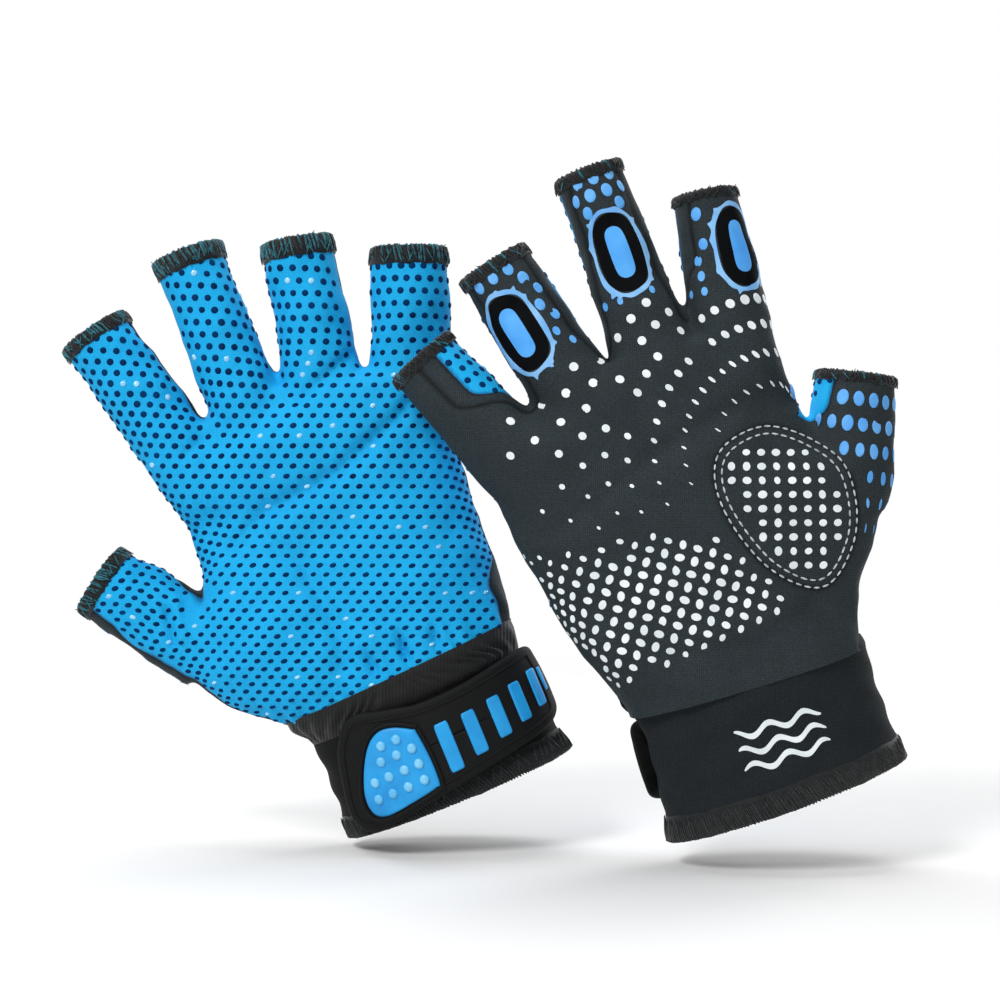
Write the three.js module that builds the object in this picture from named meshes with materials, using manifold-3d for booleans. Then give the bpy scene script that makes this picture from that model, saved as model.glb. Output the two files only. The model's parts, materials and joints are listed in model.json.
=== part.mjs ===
// A pair of short-finger sailing gloves, both cut for the left hand and both closed by a pull strap.
// Glove A shows its gripping palm and glove B, in front of it and to the right, shows its back.
// Millimetres, +Z up, the palm of glove A faces -Y. Origin: centre of glove A's wrist opening.
//
// One glove is built in its own frame: +Z runs from the wrist opening to the fingertips, the palm
// faces -Y and the thumb is on the -X side. Every panel is cut from one hollow glove shape.

import * as THREE from 'three';
import { mergeVertices } from 'three/addons/utils/BufferGeometryUtils.js';
import Module from 'manifold-3d';

const wasm = await Module();
wasm.setup();

// Driving dimensions shared by both gloves.
const WALL = 1.8;              // knitted shell with its lining
const GAP = 0.3;               // clearance kept between neighbouring pieces
const HEM_HEIGHT = 8;          // overlocked hems of the fingers and of the cuff
const HEM_EXTRA = 0.5;         // how much thicker a rolled hem stands, on each face
const CUFF_TOP = 42;           // where the cuff meets the hand
const CUFF_HALF_WIDTH = 38;
const CUFF_HALF_DEPTH = 22;
const ELASTIC_HEIGHT = 5;      // gathered strip between the palm fabric and the cuff
const FOURCHETTE_HALF_DEPTH = 5;
const FINGER_ROOT_HALF_DEPTH = 12;
const FINGER_TIP_HALF_DEPTH = 10.5;
const FINGER_RUN_IN = 26;      // how far a finger tube reaches down into the palm
const THUMB_RUN_IN = 12;
const THUMB_SEAM = 3.5;        // how far below the thumb's root its seam runs
const THUMB_ROOM = 2.5;        // how far the thumb's cutting tube stands off its skin
const FORK_DROP = 9;           // how far a fourchette reaches down past the finger roots
const PATCH_FROM = 6;          // the patch is cut from the skin behind this y
const FAR = 300;               // larger than anything that is cut
const WELD = 0.02;             // corners closer than this are one corner
const PALM_SIDES = 28;
const FINGER_SIDES = 12;
const CUFF_SIDES = 40;

// Layers over the cuff: [inner, outer] distance from its outer surface.
const LOOP_LAYER = [0.3, 1.3];
const HOOK_LAYER = [1.6, 2.6];
const STRAP_LAYER = [2.9, 5.1];
const ANCHOR_LAYER = [0.3, 5.1];
const RUBBER_LAYER = [5.4, 6.6];
const BAR_LAYER = [5.4, 7.4];
const HINGE_X = 34.5;          // the line that the strap bends on, toward the little finger
const NUB_RADIUS = 1.5;
const NUB_HEIGHT = 2;
const NUB_STANDS = 0.5;        // how far a nub's middle stands over the rubber

// A finger: where its axis leaves the palm, its lean toward the little finger in degrees, its
// length from there to the cut end, and its width at both ends.
const GLOVE_A = {
  name: 'glove_a',
  place: [0, 0, 0],
  tilt: -25,
  turn: 0,
  fingers: {
    index: { root: [-37, 144], lean: -10.5, length: 47, widths: [26, 23], curl: 3 },
    middle: { root: [-10, 148], lean: 3.8, length: 53, widths: [25.5, 23], curl: 3 },
    ring: { root: [17, 146], lean: 15, length: 44.5, widths: [27, 23], curl: 4 },
    little: { root: [46, 137], lean: 24, length: 37, widths: [28, 24.5], curl: 5 },
    thumb: { root: [-62.6, 89.6], lean: -32, length: 30, widths: [29, 25], curl: 3 },
  },
  // The hand from wrist to knuckles: height, thumb edge, little-finger edge, half depth.
  hand: [
    [42, -40, 38, 22], [50, -50, 42, 21], [60, -59, 43, 20.5], [72, -65, 44, 19.5],
    [83, -60, 45, 18.5], [94, -50, 46, 17.5], [106, -46, 48, 16.5], [120, -45, 54, 15],
    [132, -44, 56, 13.5], [138, -40, 48, 12], [143, -34, 18, 9.5],
  ],
  patch: { centre: [-30, 88], radii: [21, 25] },
};

const GLOVE_B = {
  name: 'glove_b',
  place: [104.3, -32, 2.9],
  tilt: -17,
  turn: 180,
  fingers: {
    index: { root: [-27, 154], lean: -7, length: 37.5, widths: [25.5, 20], curl: 3 },
    middle: { root: [-0.5, 155], lean: 3, length: 54, widths: [26.5, 21.5], curl: 3 },
    ring: { root: [28, 146], lean: 15, length: 45.5, widths: [27, 24], curl: 4 },
    little: { root: [54.5, 135], lean: 25, length: 37, widths: [27.5, 23], curl: 6 },
    thumb: { root: [-49.6, 96.4], lean: -24, length: 28, widths: [29, 25], curl: 3 },
  },
  hand: [
    [42, -37, 40, 22], [50, -38, 44, 21], [60, -42, 48, 20.5], [69, -50, 51, 19.5],
    [78, -60, 54, 18.5], [89, -58, 56, 17.5], [102, -46, 59, 16.5], [114, -40, 61, 15],
    [128, -39, 62, 13.5], [137, -38, 54, 12], [147, -30, 24, 9.5],
  ],
  patch: { centre: [-24.5, 88], radii: [20.5, 25] },
};

const material = (color, roughness) => new THREE.MeshStandardMaterial({ color, roughness });
const MATERIALS = {
  palm_fabric: material(0x1e9be8, 0.8),
  back_fabric: material(0x2b2b2e, 0.85),
  side_fabric: material(0x3f3d3c, 0.85),
  overlock: material(0x16272b, 0.9),
  cuff_fabric: material(0x17171a, 0.8),
  elastic: material(0x111214, 0.9),
  tape: material(0x0c0c0e, 0.95),
  strap: material(0x0f1114, 0.55),
  blue_rubber: material(0x2a8fd8, 0.5),
};

// --- Joining and cutting -------------------------------------------------------------------

function solidOf(geometry) {
  const bare = geometry.index ? geometry.clone() : geometry;
  bare.deleteAttribute('normal');
  bare.deleteAttribute('uv');
  const merged = mergeVertices(bare, 1e-4);
  return new wasm.Manifold(new wasm.Mesh({
    numProp: 3,
    vertProperties: new Float32Array(merged.attributes.position.array),
    triVerts: new Uint32Array(merged.index.array),
  }));
}

// The solid's mesh, with corners closer than WELD made one and the collapsed triangles dropped.
function geometryOf(solid) {
  const mesh = solid.getMesh();
  const geometry = new THREE.BufferGeometry();
  geometry.setAttribute('position', new THREE.BufferAttribute(mesh.vertProperties, 3));
  geometry.setIndex(new THREE.BufferAttribute(mesh.triVerts, 1));
  const welded = mergeVertices(geometry, WELD);
  const corners = welded.index.array;
  const kept = [];
  for (let i = 0; i < corners.length; i += 3) {
    const [a, b, c] = corners.subarray(i, i + 3);
    if (a !== b && b !== c && c !== a) kept.push(a, b, c);
  }
  welded.setIndex(kept);
  return welded;
}

const joined = (solids) => solids.reduce((sum, solid) => sum.add(solid));

// --- Basic shapes --------------------------------------------------------------------------

// A closed tube through oval sections. A section has a centre, half width, half depth and the
// lean of its plane about Y in degrees.
function loft(sections, sides) {
  const rings = sections.length - 1;
  const geometry = new THREE.CylinderGeometry(1, 1, 1, sides, rings);
  const points = geometry.attributes.position;
  for (let i = 0; i < points.count; i += 1) {
    const section = sections[Math.round((points.getY(i) + 0.5) * rings)];
    const lean = THREE.MathUtils.degToRad(section.lean);
    const across = points.getX(i) * section.halfWidth;
    const deep = points.getZ(i) * section.halfDepth;
    points.setXYZ(
      i,
      section.centre[0] + across * Math.cos(lean),
      section.centre[1] - deep,
      section.centre[2] - across * Math.sin(lean),
    );
  }
  return solidOf(geometry);
}

// A box from its lowest and highest corners.
function block(low, high) {
  const size = high.map((value, axis) => value - low[axis]);
  const geometry = new THREE.BoxGeometry(...size);
  geometry.translate(...high.map((value, axis) => (value + low[axis]) / 2));
  return solidOf(geometry);
}

// An outline in the XZ plane, extruded from y = front to y = back.
function prism(shape, front, back) {
  const geometry = new THREE.ExtrudeGeometry(shape, {
    depth: back - front,
    bevelEnabled: false,
    curveSegments: 6,
  });
  geometry.rotateX(Math.PI / 2);
  geometry.translate(0, back, 0);
  return solidOf(geometry);
}

function polygon(points) {
  return new THREE.Shape(points.map(([x, z]) => new THREE.Vector2(x, z)));
}

// An ellipse of the glove's back, grown on all sides.
function oval(centre, radii, grow) {
  const shape = new THREE.Shape();
  shape.absellipse(...centre, radii[0] + grow, radii[1] + grow, 0, Math.PI * 2, false, 0);
  return shape;
}

// --- The hollow glove ----------------------------------------------------------------------

// The point of a finger's axis at a distance from its root, in x, y, z.
function alongFinger(finger, distance) {
  const lean = THREE.MathUtils.degToRad(finger.lean);
  const sag = -finger.curl * Math.max(distance, 0) / finger.length;
  return [
    finger.root[0] + distance * Math.sin(lean),
    sag,
    finger.root[1] + distance * Math.cos(lean),
  ];
}

function fingerTube(finger, from, to, offset) {
  const sections = [from, 0, to]
    .filter((distance, i) => i !== 1 || (from < 0 && to > 0))
    .map((distance) => {
      const share = distance / finger.length;
      const width = THREE.MathUtils.lerp(finger.widths[0], finger.widths[1], share);
      const depth = THREE.MathUtils.lerp(
        FINGER_ROOT_HALF_DEPTH, FINGER_TIP_HALF_DEPTH, Math.max(share, 0),
      );
      return {
        centre: alongFinger(finger, distance),
        halfWidth: width / 2 + offset,
        halfDepth: depth + offset,
        lean: finger.lean,
      };
    });
  return loft(sections, FINGER_SIDES);
}

function handBody(glove, offset) {
  const sections = glove.hand.map(([z, thumbEdge, littleEdge, halfDepth]) => ({
    centre: [(thumbEdge + littleEdge) / 2, 0, z],
    halfWidth: (littleEdge - thumbEdge) / 2 + offset,
    halfDepth: halfDepth + offset,
    lean: 0,
  }));
  sections[sections.length - 1].centre[2] += offset;
  if (offset < 0) {
    const mouth = sections[0];
    sections.unshift({ ...mouth, centre: [mouth.centre[0], 0, CUFF_TOP - 1] });
  }
  return loft(sections, PALM_SIDES);
}

// The shell of the hand and fingers, open at the wrist and at the five finger ends.
function handShell(glove) {
  const fingers = Object.values(glove.fingers);
  const ends = fingers.map((finger) => finger.length - HEM_HEIGHT - GAP);
  const starts = fingers.map((finger) => (
    finger === glove.fingers.thumb ? -THUMB_RUN_IN : -FINGER_RUN_IN
  ));
  const outer = joined([
    handBody(glove, 0),
    ...fingers.map((finger, i) => fingerTube(finger, starts[i], ends[i], 0)),
  ]);
  const inner = joined([
    handBody(glove, -WALL),
    ...fingers.map((finger, i) => fingerTube(finger, starts[i], ends[i] + 5, -WALL)),
  ]);
  return outer.subtract(inner);
}

// --- Cutting shapes ------------------------------------------------------------------------

const palmSide = () => block([-FAR, -FAR, -FAR], [FAR, -GAP / 2, FAR]);
const backSide = () => block([-FAR, GAP / 2, -FAR], [FAR, FAR, FAR]);
const below = (z) => block([-FAR, -FAR, -FAR], [FAR, FAR, z]);

// The space between two neighbouring fingers, from just under their fork to their ends.
function forkSpace(first, second, grow) {
  const under = -FORK_DROP - grow;
  const corners = [
    alongFinger(first, under), alongFinger(first, first.length),
    alongFinger(second, second.length), alongFinger(second, under),
  ];
  const depth = FOURCHETTE_HALF_DEPTH + grow;
  return prism(polygon(corners.map(([x, , z]) => [x, z])), -depth, depth);
}

function thumbSpace(glove, grow) {
  const { thumb } = glove.fingers;
  return fingerTube(thumb, -THUMB_SEAM - grow, thumb.length, THUMB_ROOM + grow);
}

function patchSpace(glove, grow) {
  return prism(oval(glove.patch.centre, glove.patch.radii, grow), PATCH_FROM - grow, FAR);
}

// --- Panels of the hand --------------------------------------------------------------------

function handPanels(glove) {
  const shell = handShell(glove);
  const { index, middle, ring, little } = glove.fingers;
  const forks = {
    fourchette_index_middle: [index, middle],
    fourchette_middle_ring: [middle, ring],
    fourchette_ring_little: [ring, little],
  };
  const elasticTop = CUFF_TOP + ELASTIC_HEIGHT;
  const forkPairs = Object.values(forks);
  const forkHoles = joined(forkPairs.map((pair) => forkSpace(...pair, GAP)));
  const hand = shell.subtract(forkHoles).subtract(thumbSpace(glove, GAP));
  const thumb = shell.intersect(thumbSpace(glove, 0));
  const backOfHand = hand.intersect(backSide()).subtract(patchSpace(glove, GAP));
  const backOfThumb = thumb.intersect(backSide()).subtract(patchSpace(glove, GAP));
  const panels = {
    palm_panel: hand.intersect(palmSide()).subtract(below(elasticTop + GAP)),
    back_panel: backOfHand.subtract(below(CUFF_TOP + GAP)),
    wrist_elastic: hand.intersect(palmSide()).intersect(below(elasticTop))
      .subtract(below(CUFF_TOP + GAP)),
    thumb_palm_panel: thumb.intersect(palmSide()),
    thumb_back_panel: backOfThumb,
    thumb_patch: shell.intersect(patchSpace(glove, 0)),
  };
  Object.entries(forks).forEach(([name, pair]) => {
    panels[name] = shell.intersect(forkSpace(...pair, 0));
  });
  return panels;
}

function fingerHem(finger) {
  const start = finger.length - HEM_HEIGHT;
  const outer = fingerTube(finger, start, finger.length, HEM_EXTRA);
  const inner = fingerTube(finger, start - 1, finger.length + 1, -WALL - HEM_EXTRA);
  return outer.subtract(inner);
}

// --- Cuff and strap ------------------------------------------------------------------------

// A ring around the cuff between two distances from its outer surface.
function cuffRing(layer, low, high) {
  const [inner, outer] = layer.map((offset, i) => {
    const reach = i === 0 ? 1 : 0;
    const ends = [low - reach, high + reach].map((z) => ({
      centre: [0, 0, z],
      halfWidth: CUFF_HALF_WIDTH + offset,
      halfDepth: CUFF_HALF_DEPTH + offset,
      lean: 0,
    }));
    return loft(ends, CUFF_SIDES);
  });
  return outer.subtract(inner);
}

// The strap seen square on: broad and round at its free end, narrower at its sewn end.
function strapOutline(from, to) {
  const top = (x) => THREE.MathUtils.mapLinear(x, -23, 42, 40, 35.5);
  const bottom = (x) => THREE.MathUtils.mapLinear(x, -31, 42, 2, 10);
  const shape = new THREE.Shape();
  shape.moveTo(to, bottom(to));
  shape.lineTo(to, top(to));
  if (from > -20) {
    shape.lineTo(from, top(from));
    shape.lineTo(from, bottom(from));
  } else {
    shape.lineTo(-22, top(-22));
    shape.bezierCurveTo(-30, top(-22), -37, 22, -37, 11);
    shape.bezierCurveTo(-37, 5, -35, bottom(-31), -30, bottom(-31));
  }
  shape.closePath();
  return shape;
}

function tabOutline() {
  const shape = new THREE.Shape();
  shape.moveTo(-1.5, 28);
  shape.lineTo(-3, 7);
  shape.lineTo(-21, 5);
  shape.bezierCurveTo(-27, 5, -30, 14, -25, 23);
  shape.bezierCurveTo(-20, 32, -14, 35, -1.5, 28);
  return shape;
}

function nubs() {
  const rows = [[27, 3], [22, 4], [17, 3], [12, 4]];
  const centres = rows.flatMap(([z, count]) => (
    Array.from({ length: count }, (_, i) => [-5.5 - 5.4 * i - (count === 3 ? 2.4 : 0), z])
  ));
  return centres.filter(([x, z]) => x > -24 && !(x < -20 && z > 20)).map(([x, z]) => {
    const ride = CUFF_HALF_DEPTH + RUBBER_LAYER[1];
    const depth = ride * Math.sqrt(1 - (x / (CUFF_HALF_WIDTH + RUBBER_LAYER[1])) ** 2);
    const geometry = new THREE.CylinderGeometry(NUB_RADIUS, NUB_RADIUS * 0.6, NUB_HEIGHT, 8);
    geometry.translate(x, -depth - NUB_STANDS, z);
    return solidOf(geometry);
  });
}

const BARS = [[5.5, 17, 16], [15, 17, 13], [24.5, 18, 12], [40, 23, 13]];

// One slanted bar: its middle and its height.
function barOutline([x, z, height]) {
  const half = 2.1;
  const slant = 0.6;
  return polygon([
    [x - half - slant, z - height / 2], [x + half - slant, z - height / 2],
    [x + half + slant, z + height / 2], [x - half + slant, z + height / 2],
  ]);
}

function cuffPieces() {
  const cuff = cuffRing([-WALL, 0], HEM_HEIGHT + GAP, CUFF_TOP);
  const facing = (shape) => prism(shape, -FAR, -2);
  const over = (layer, solid) => cuffRing(layer, 0, CUFF_TOP).intersect(solid);
  const tape = (from, to) => facing(polygon([[from, 12], [to, 12], [to, 32], [from, 32]]));
  const strip = facing(polygon([[2.5, 15.5], [29, 16.5], [29, 20], [2.5, 19]]));
  const bars = joined(BARS.slice(0, 3).map((bar) => facing(barOutline(bar))));
  return {
    cuff_palm: cuff.intersect(palmSide()),
    cuff_back: cuff.intersect(backSide()),
    cuff_hem: cuffRing([-WALL - HEM_EXTRA, HEM_EXTRA], 0, HEM_HEIGHT),
    loop_patch: over(LOOP_LAYER, tape(-30, 24)),
    hook_patch: over(HOOK_LAYER, tape(-26, 6)),
    strap: over(STRAP_LAYER, facing(strapOutline(-37, HINGE_X - 0.5))),
    strap_anchor: over(ANCHOR_LAYER, facing(strapOutline(HINGE_X + 0.5, 46))),
    strap_bars: over(RUBBER_LAYER, strip).add(over(BAR_LAYER, bars)),
    anchor_bar: over(BAR_LAYER, facing(barOutline(BARS[3]))),
    pull_tab: over(RUBBER_LAYER, facing(tabOutline())).add(joined(nubs())),
  };
}

// --- The pair ------------------------------------------------------------------------------

const LOOKS = {
  palm_panel: 'palm_fabric',
  thumb_palm_panel: 'palm_fabric',
  back_panel: 'back_fabric',
  thumb_back_panel: 'back_fabric',
  thumb_patch: 'back_fabric',
  fourchette_index_middle: 'side_fabric',
  fourchette_middle_ring: 'side_fabric',
  fourchette_ring_little: 'side_fabric',
  wrist_elastic: 'elastic',
  cuff_palm: 'cuff_fabric',
  cuff_back: 'cuff_fabric',
  cuff_hem: 'overlock',
  loop_patch: 'tape',
  hook_patch: 'tape',
  strap: 'strap',
  strap_anchor: 'strap',
  strap_bars: 'blue_rubber',
  anchor_bar: 'blue_rubber',
  pull_tab: 'blue_rubber',
};

function buildGlove(glove) {
  const pieces = { ...handPanels(glove), ...cuffPieces() };
  Object.entries(glove.fingers).forEach(([finger, sizes]) => {
    pieces[`hem_${finger}`] = fingerHem(sizes);
  });
  const turned = new THREE.Group();
  turned.rotation.z = THREE.MathUtils.degToRad(glove.turn);
  Object.entries(pieces).forEach(([name, solid]) => {
    const look = MATERIALS[LOOKS[name] ?? 'overlock'];
    const mesh = new THREE.Mesh(geometryOf(solid), look);
    mesh.name = `${glove.name}_${name}`;
    turned.add(mesh);
  });
  const placed = new THREE.Group();
  placed.position.set(...glove.place);
  placed.rotation.y = THREE.MathUtils.degToRad(glove.tilt);
  placed.add(turned);
  return placed;
}

const gloves = new THREE.Group();
gloves.add(buildGlove(GLOVE_A), buildGlove(GLOVE_B));

export default gloves;
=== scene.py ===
"""A pair of short-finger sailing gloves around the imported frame.

Each glove is worked out in its own frame in millimetres: +Z from the wrist to the fingertips,
-Y out of the palm, -X toward the thumb. A finger has coordinates of its own: s along its axis
from the fork, and an angle round the axis, 0 at the middle of the finger's back.
"""

import json
import math

import bpy
import numpy as np
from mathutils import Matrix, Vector
from mathutils.bvhtree import BVHTree


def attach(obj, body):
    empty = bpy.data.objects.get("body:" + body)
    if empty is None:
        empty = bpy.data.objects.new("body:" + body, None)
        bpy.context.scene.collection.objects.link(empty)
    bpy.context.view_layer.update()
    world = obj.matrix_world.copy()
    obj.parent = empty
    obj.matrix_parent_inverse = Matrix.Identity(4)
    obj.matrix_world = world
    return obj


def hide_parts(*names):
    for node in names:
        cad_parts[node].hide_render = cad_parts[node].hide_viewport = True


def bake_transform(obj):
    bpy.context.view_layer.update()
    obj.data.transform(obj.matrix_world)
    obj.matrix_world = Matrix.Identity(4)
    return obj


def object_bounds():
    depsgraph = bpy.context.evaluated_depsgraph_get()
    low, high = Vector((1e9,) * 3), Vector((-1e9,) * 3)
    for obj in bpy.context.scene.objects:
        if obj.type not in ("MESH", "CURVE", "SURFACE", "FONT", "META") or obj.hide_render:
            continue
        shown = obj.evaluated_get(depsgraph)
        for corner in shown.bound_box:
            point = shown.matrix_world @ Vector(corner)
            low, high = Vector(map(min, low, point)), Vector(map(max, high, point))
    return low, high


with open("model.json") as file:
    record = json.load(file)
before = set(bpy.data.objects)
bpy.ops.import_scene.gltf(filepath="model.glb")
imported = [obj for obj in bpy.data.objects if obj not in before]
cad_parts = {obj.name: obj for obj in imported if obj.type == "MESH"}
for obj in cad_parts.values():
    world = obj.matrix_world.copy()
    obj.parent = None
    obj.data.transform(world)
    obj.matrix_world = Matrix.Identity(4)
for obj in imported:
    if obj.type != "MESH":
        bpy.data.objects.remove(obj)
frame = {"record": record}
CAD_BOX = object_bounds()
MM = 0.001  # in metres
RANDOM = np.random.default_rng(7)

# The same driving dimensions as the CAD part, in millimetres and degrees.
CUFF_TOP = 42.0
CUFF_HALF = (38.0, 22.0)
HEM_HEIGHT = 8.0

VOXEL = 1.1  # of the remeshed skin, in millimetres
FLOOR_GAP = 0.002                   # below the lowest point, in metres

FINGERS = {
    "a": {
        "index": dict(root=(-37, 144), lean=-10.5, length=47, widths=(26, 23), curl=3, roll=4),
        "middle": dict(root=(-10, 148), lean=3.8, length=53, widths=(25.5, 23), curl=3, roll=24),
        "ring": dict(root=(17, 146), lean=15, length=44.5, widths=(27, 23), curl=4, roll=-24),
        "little": dict(root=(46, 137), lean=24, length=37, widths=(28, 24.5), curl=5, roll=0),
        "thumb": dict(root=(-62.6, 89.6), lean=-32, length=30, widths=(29, 25), curl=3, roll=40),
    },
    "b": {
        "index": dict(root=(-27, 154), lean=-7, length=37.5, widths=(25.5, 20), curl=3, roll=32),
        "middle": dict(root=(-0.5, 155), lean=3, length=54, widths=(26.5, 21.5), curl=3, roll=0),
        "ring": dict(root=(28, 146), lean=15, length=45.5, widths=(27, 24), curl=4, roll=-8),
        "little": dict(root=(54.5, 135), lean=25, length=37, widths=(27.5, 23), curl=6, roll=-72),
        "thumb": dict(root=(-49.6, 96.4), lean=-24, length=28, widths=(29, 25), curl=3, roll=42),
    },
}
HAND_CORNERS = 2 / 2.5  # 1 is round, 0 is square
# Height, thumb edge, little-finger edge and half depth of the hand.
HANDS = {
    "a": [
        (36, -38, 38, 22), (42, -39, 38, 22), (50, -50, 42, 21), (60, -59, 43, 20.5),
        (72, -65, 44, 19.5), (83, -60, 45, 18.5), (94, -50, 46, 17.5), (106, -46, 48, 16.5),
        (120, -45, 54, 15), (132, -44, 56, 13.5), (138, -40, 48, 12), (143, -34, 18, 9.5),
    ],
    "b": [
        (36, -37, 40, 22), (42, -37, 40, 22), (50, -38, 44, 21), (60, -42, 48, 20.5),
        (70, -50, 51, 19.5), (81, -57, 54, 18.5), (91, -56, 56, 17.5), (102, -46, 59, 16.5),
        (114, -40, 61, 15), (128, -39, 62, 13.5), (137, -38, 54, 12), (147, -30, 24, 9.5),
    ],
}


# --- Small tools ----------------------------------------------------------------------------

def smoothstep(x, low, high):
    """0 below the low end, 1 above the high end, and smooth in between."""
    t = np.clip((np.asarray(x, float) - low) / (high - low), 0, 1)
    return t * t * (3 - 2 * t)


def ring_faces(rings, sides, closed=True):
    """Quads between successive rings of points."""
    faces = []
    last = sides if closed else sides - 1
    for r in range(rings - 1):
        for k in range(last):
            n = (k + 1) % sides
            faces.append((r * sides + k, r * sides + n, (r + 1) * sides + n, (r + 1) * sides + k))
    return faces


def halved(quads):
    """Two triangles for each quad."""
    quads = np.array(quads)
    return np.vstack([quads[:, [0, 1, 2]], quads[:, [0, 2, 3]]])


def capped(rings, sides):
    """The faces of a tube with both its ends closed."""
    faces = ring_faces(rings, sides)
    faces.append(tuple(reversed(range(sides))))
    faces.append(tuple(range((rings - 1) * sides, rings * sides)))
    return faces


def joined(meshes):
    """Some meshes as one."""
    verts, faces, shift = [], [], 0
    for points, tris in meshes:
        if len(points) == 0:
            continue
        verts.append(points)
        faces += [tuple(i + shift for i in f) for f in tris]
        shift += len(points)
    return (np.vstack(verts) if verts else np.zeros((0, 3))), faces


def placed(name, data):
    """An object for some data, in the scene."""
    obj = bpy.data.objects.new(name, data)
    bpy.context.scene.collection.objects.link(obj)
    return obj


def mesh_object(name, verts, faces):
    """A smooth-shaded object in the scene."""
    mesh = bpy.data.meshes.new(name)
    mesh.from_pydata(np.asarray(verts, float).tolist(), [], [tuple(f) for f in faces])
    mesh.update()
    mesh.polygons.foreach_set("use_smooth", [True] * len(mesh.polygons))
    return placed(name, mesh)


def settled(obj):
    """The object's vertices and faces with its modifiers applied; the object is removed."""
    view = bpy.context.evaluated_depsgraph_get()
    mesh = bpy.data.meshes.new_from_object(obj.evaluated_get(view))
    points = np.empty(len(mesh.vertices) * 3)
    mesh.vertices.foreach_get("co", points)
    faces = [tuple(p.vertices) for p in mesh.polygons]
    bpy.data.objects.remove(obj)
    bpy.data.meshes.remove(mesh)
    return points.reshape(-1, 3), faces


def squared(angles, power):
    """Cosines and sines pushed out toward the corners of a square."""
    c, s = np.cos(angles), np.sin(angles)
    return np.sign(c) * np.abs(c) ** power, np.sign(s) * np.abs(s) ** power


def cross2(a, b):
    """The cross product of flat vectors."""
    return a[..., 0] * b[..., 1] - a[..., 1] * b[..., 0]


def unit(vectors):
    """Rows of vectors at length 1."""
    return vectors / np.maximum(np.linalg.norm(vectors, axis=1, keepdims=True), 1e-9)


def vertex_normals(points, faces):
    """The normal of each vertex from the faces round it."""
    quads = np.array([f if len(f) == 4 else (*f, f[-1]) for f in faces])
    across = np.cross(points[quads[:, 2]] - points[quads[:, 0]],
                      points[quads[:, 3]] - points[quads[:, 1]])
    normals = np.zeros_like(points)
    for corner in range(4):
        np.add.at(normals, quads[:, corner], across)
    return unit(normals)


# --- A finger's own frame -------------------------------------------------------------------

class Finger:
    """A tapered tube: s runs along its axis from the fork, a across it and b out of its back."""

    def __init__(self, name, root, lean, length, widths, curl, roll):
        self.name, self.length, self.widths, self.curl = name, length, widths, curl
        self.root = np.array([root[0], 0.0, root[1]])
        angle, self.roll = math.radians(lean), math.radians(roll)
        self.along = np.array([math.sin(angle), 0, math.cos(angle)])
        self.across = np.array([math.cos(angle), 0, -math.sin(angle)])
        self.run_in = 14.0 if name == "thumb" else 26.0

    def half_width(self, s):
        """Half the finger's width at a distance from the fork."""
        share = np.clip(np.asarray(s, float) / self.length, 0, 1.2)
        return (self.widths[0] + (self.widths[1] - self.widths[0]) * share) / 2

    def half_depth(self, s):
        """Half the finger's depth, from palm to back."""
        return 12.0 - 1.5 * np.clip(np.asarray(s, float) / self.length, 0, 1.2)

    def centre(self, s):
        """A point of the axis, which bends a little toward the palm."""
        s = np.asarray(s, float)
        bend = -self.curl * np.maximum(s, 0) / self.length
        return self.root + s[..., None] * self.along + bend[..., None] * np.array([0, 1, 0])

    def turn_at(self, s):
        """How far the finger is rolled about its axis, growing from the fork."""
        return self.roll * smoothstep(s, 2, 18)

    def arc(self, s, a, b):
        """Distance round the finger, from where a is 0 and b is positive."""
        return (self.half_width(s) + self.half_depth(s)) / 2 * np.arctan2(a, b)

    def aside(self, points, s):
        """How far points lie to the side of the axis, in half widths."""
        return np.abs((points - self.root) @ self.across) / self.half_width(s)

    def local(self, points):
        """s, a and b of points, with a and b turned by the finger's roll."""
        d = points - self.root
        s = d @ self.along
        a = d @ self.across
        b = d[:, 1] + self.curl * np.maximum(s, 0) / self.length
        turn = self.turn_at(s)
        return s, a * np.cos(turn) + b * np.sin(turn), b * np.cos(turn) - a * np.sin(turn)

    def tube(self):
        """The finger's skin, run past its end and down into the hand."""
        sides, steps = 32, 24
        angles = np.linspace(0, 2 * math.pi, sides, endpoint=False)
        verts = []
        for s in np.linspace(-self.run_in, self.length + 5, steps):
            ring = (
                self.centre(s)
                + np.outer(np.cos(angles) * self.half_width(s), self.across)
                + np.outer(np.sin(angles) * self.half_depth(s), [0, 1, 0])
            )
            verts.append(ring)
        return np.vstack(verts), capped(steps, sides)


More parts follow.
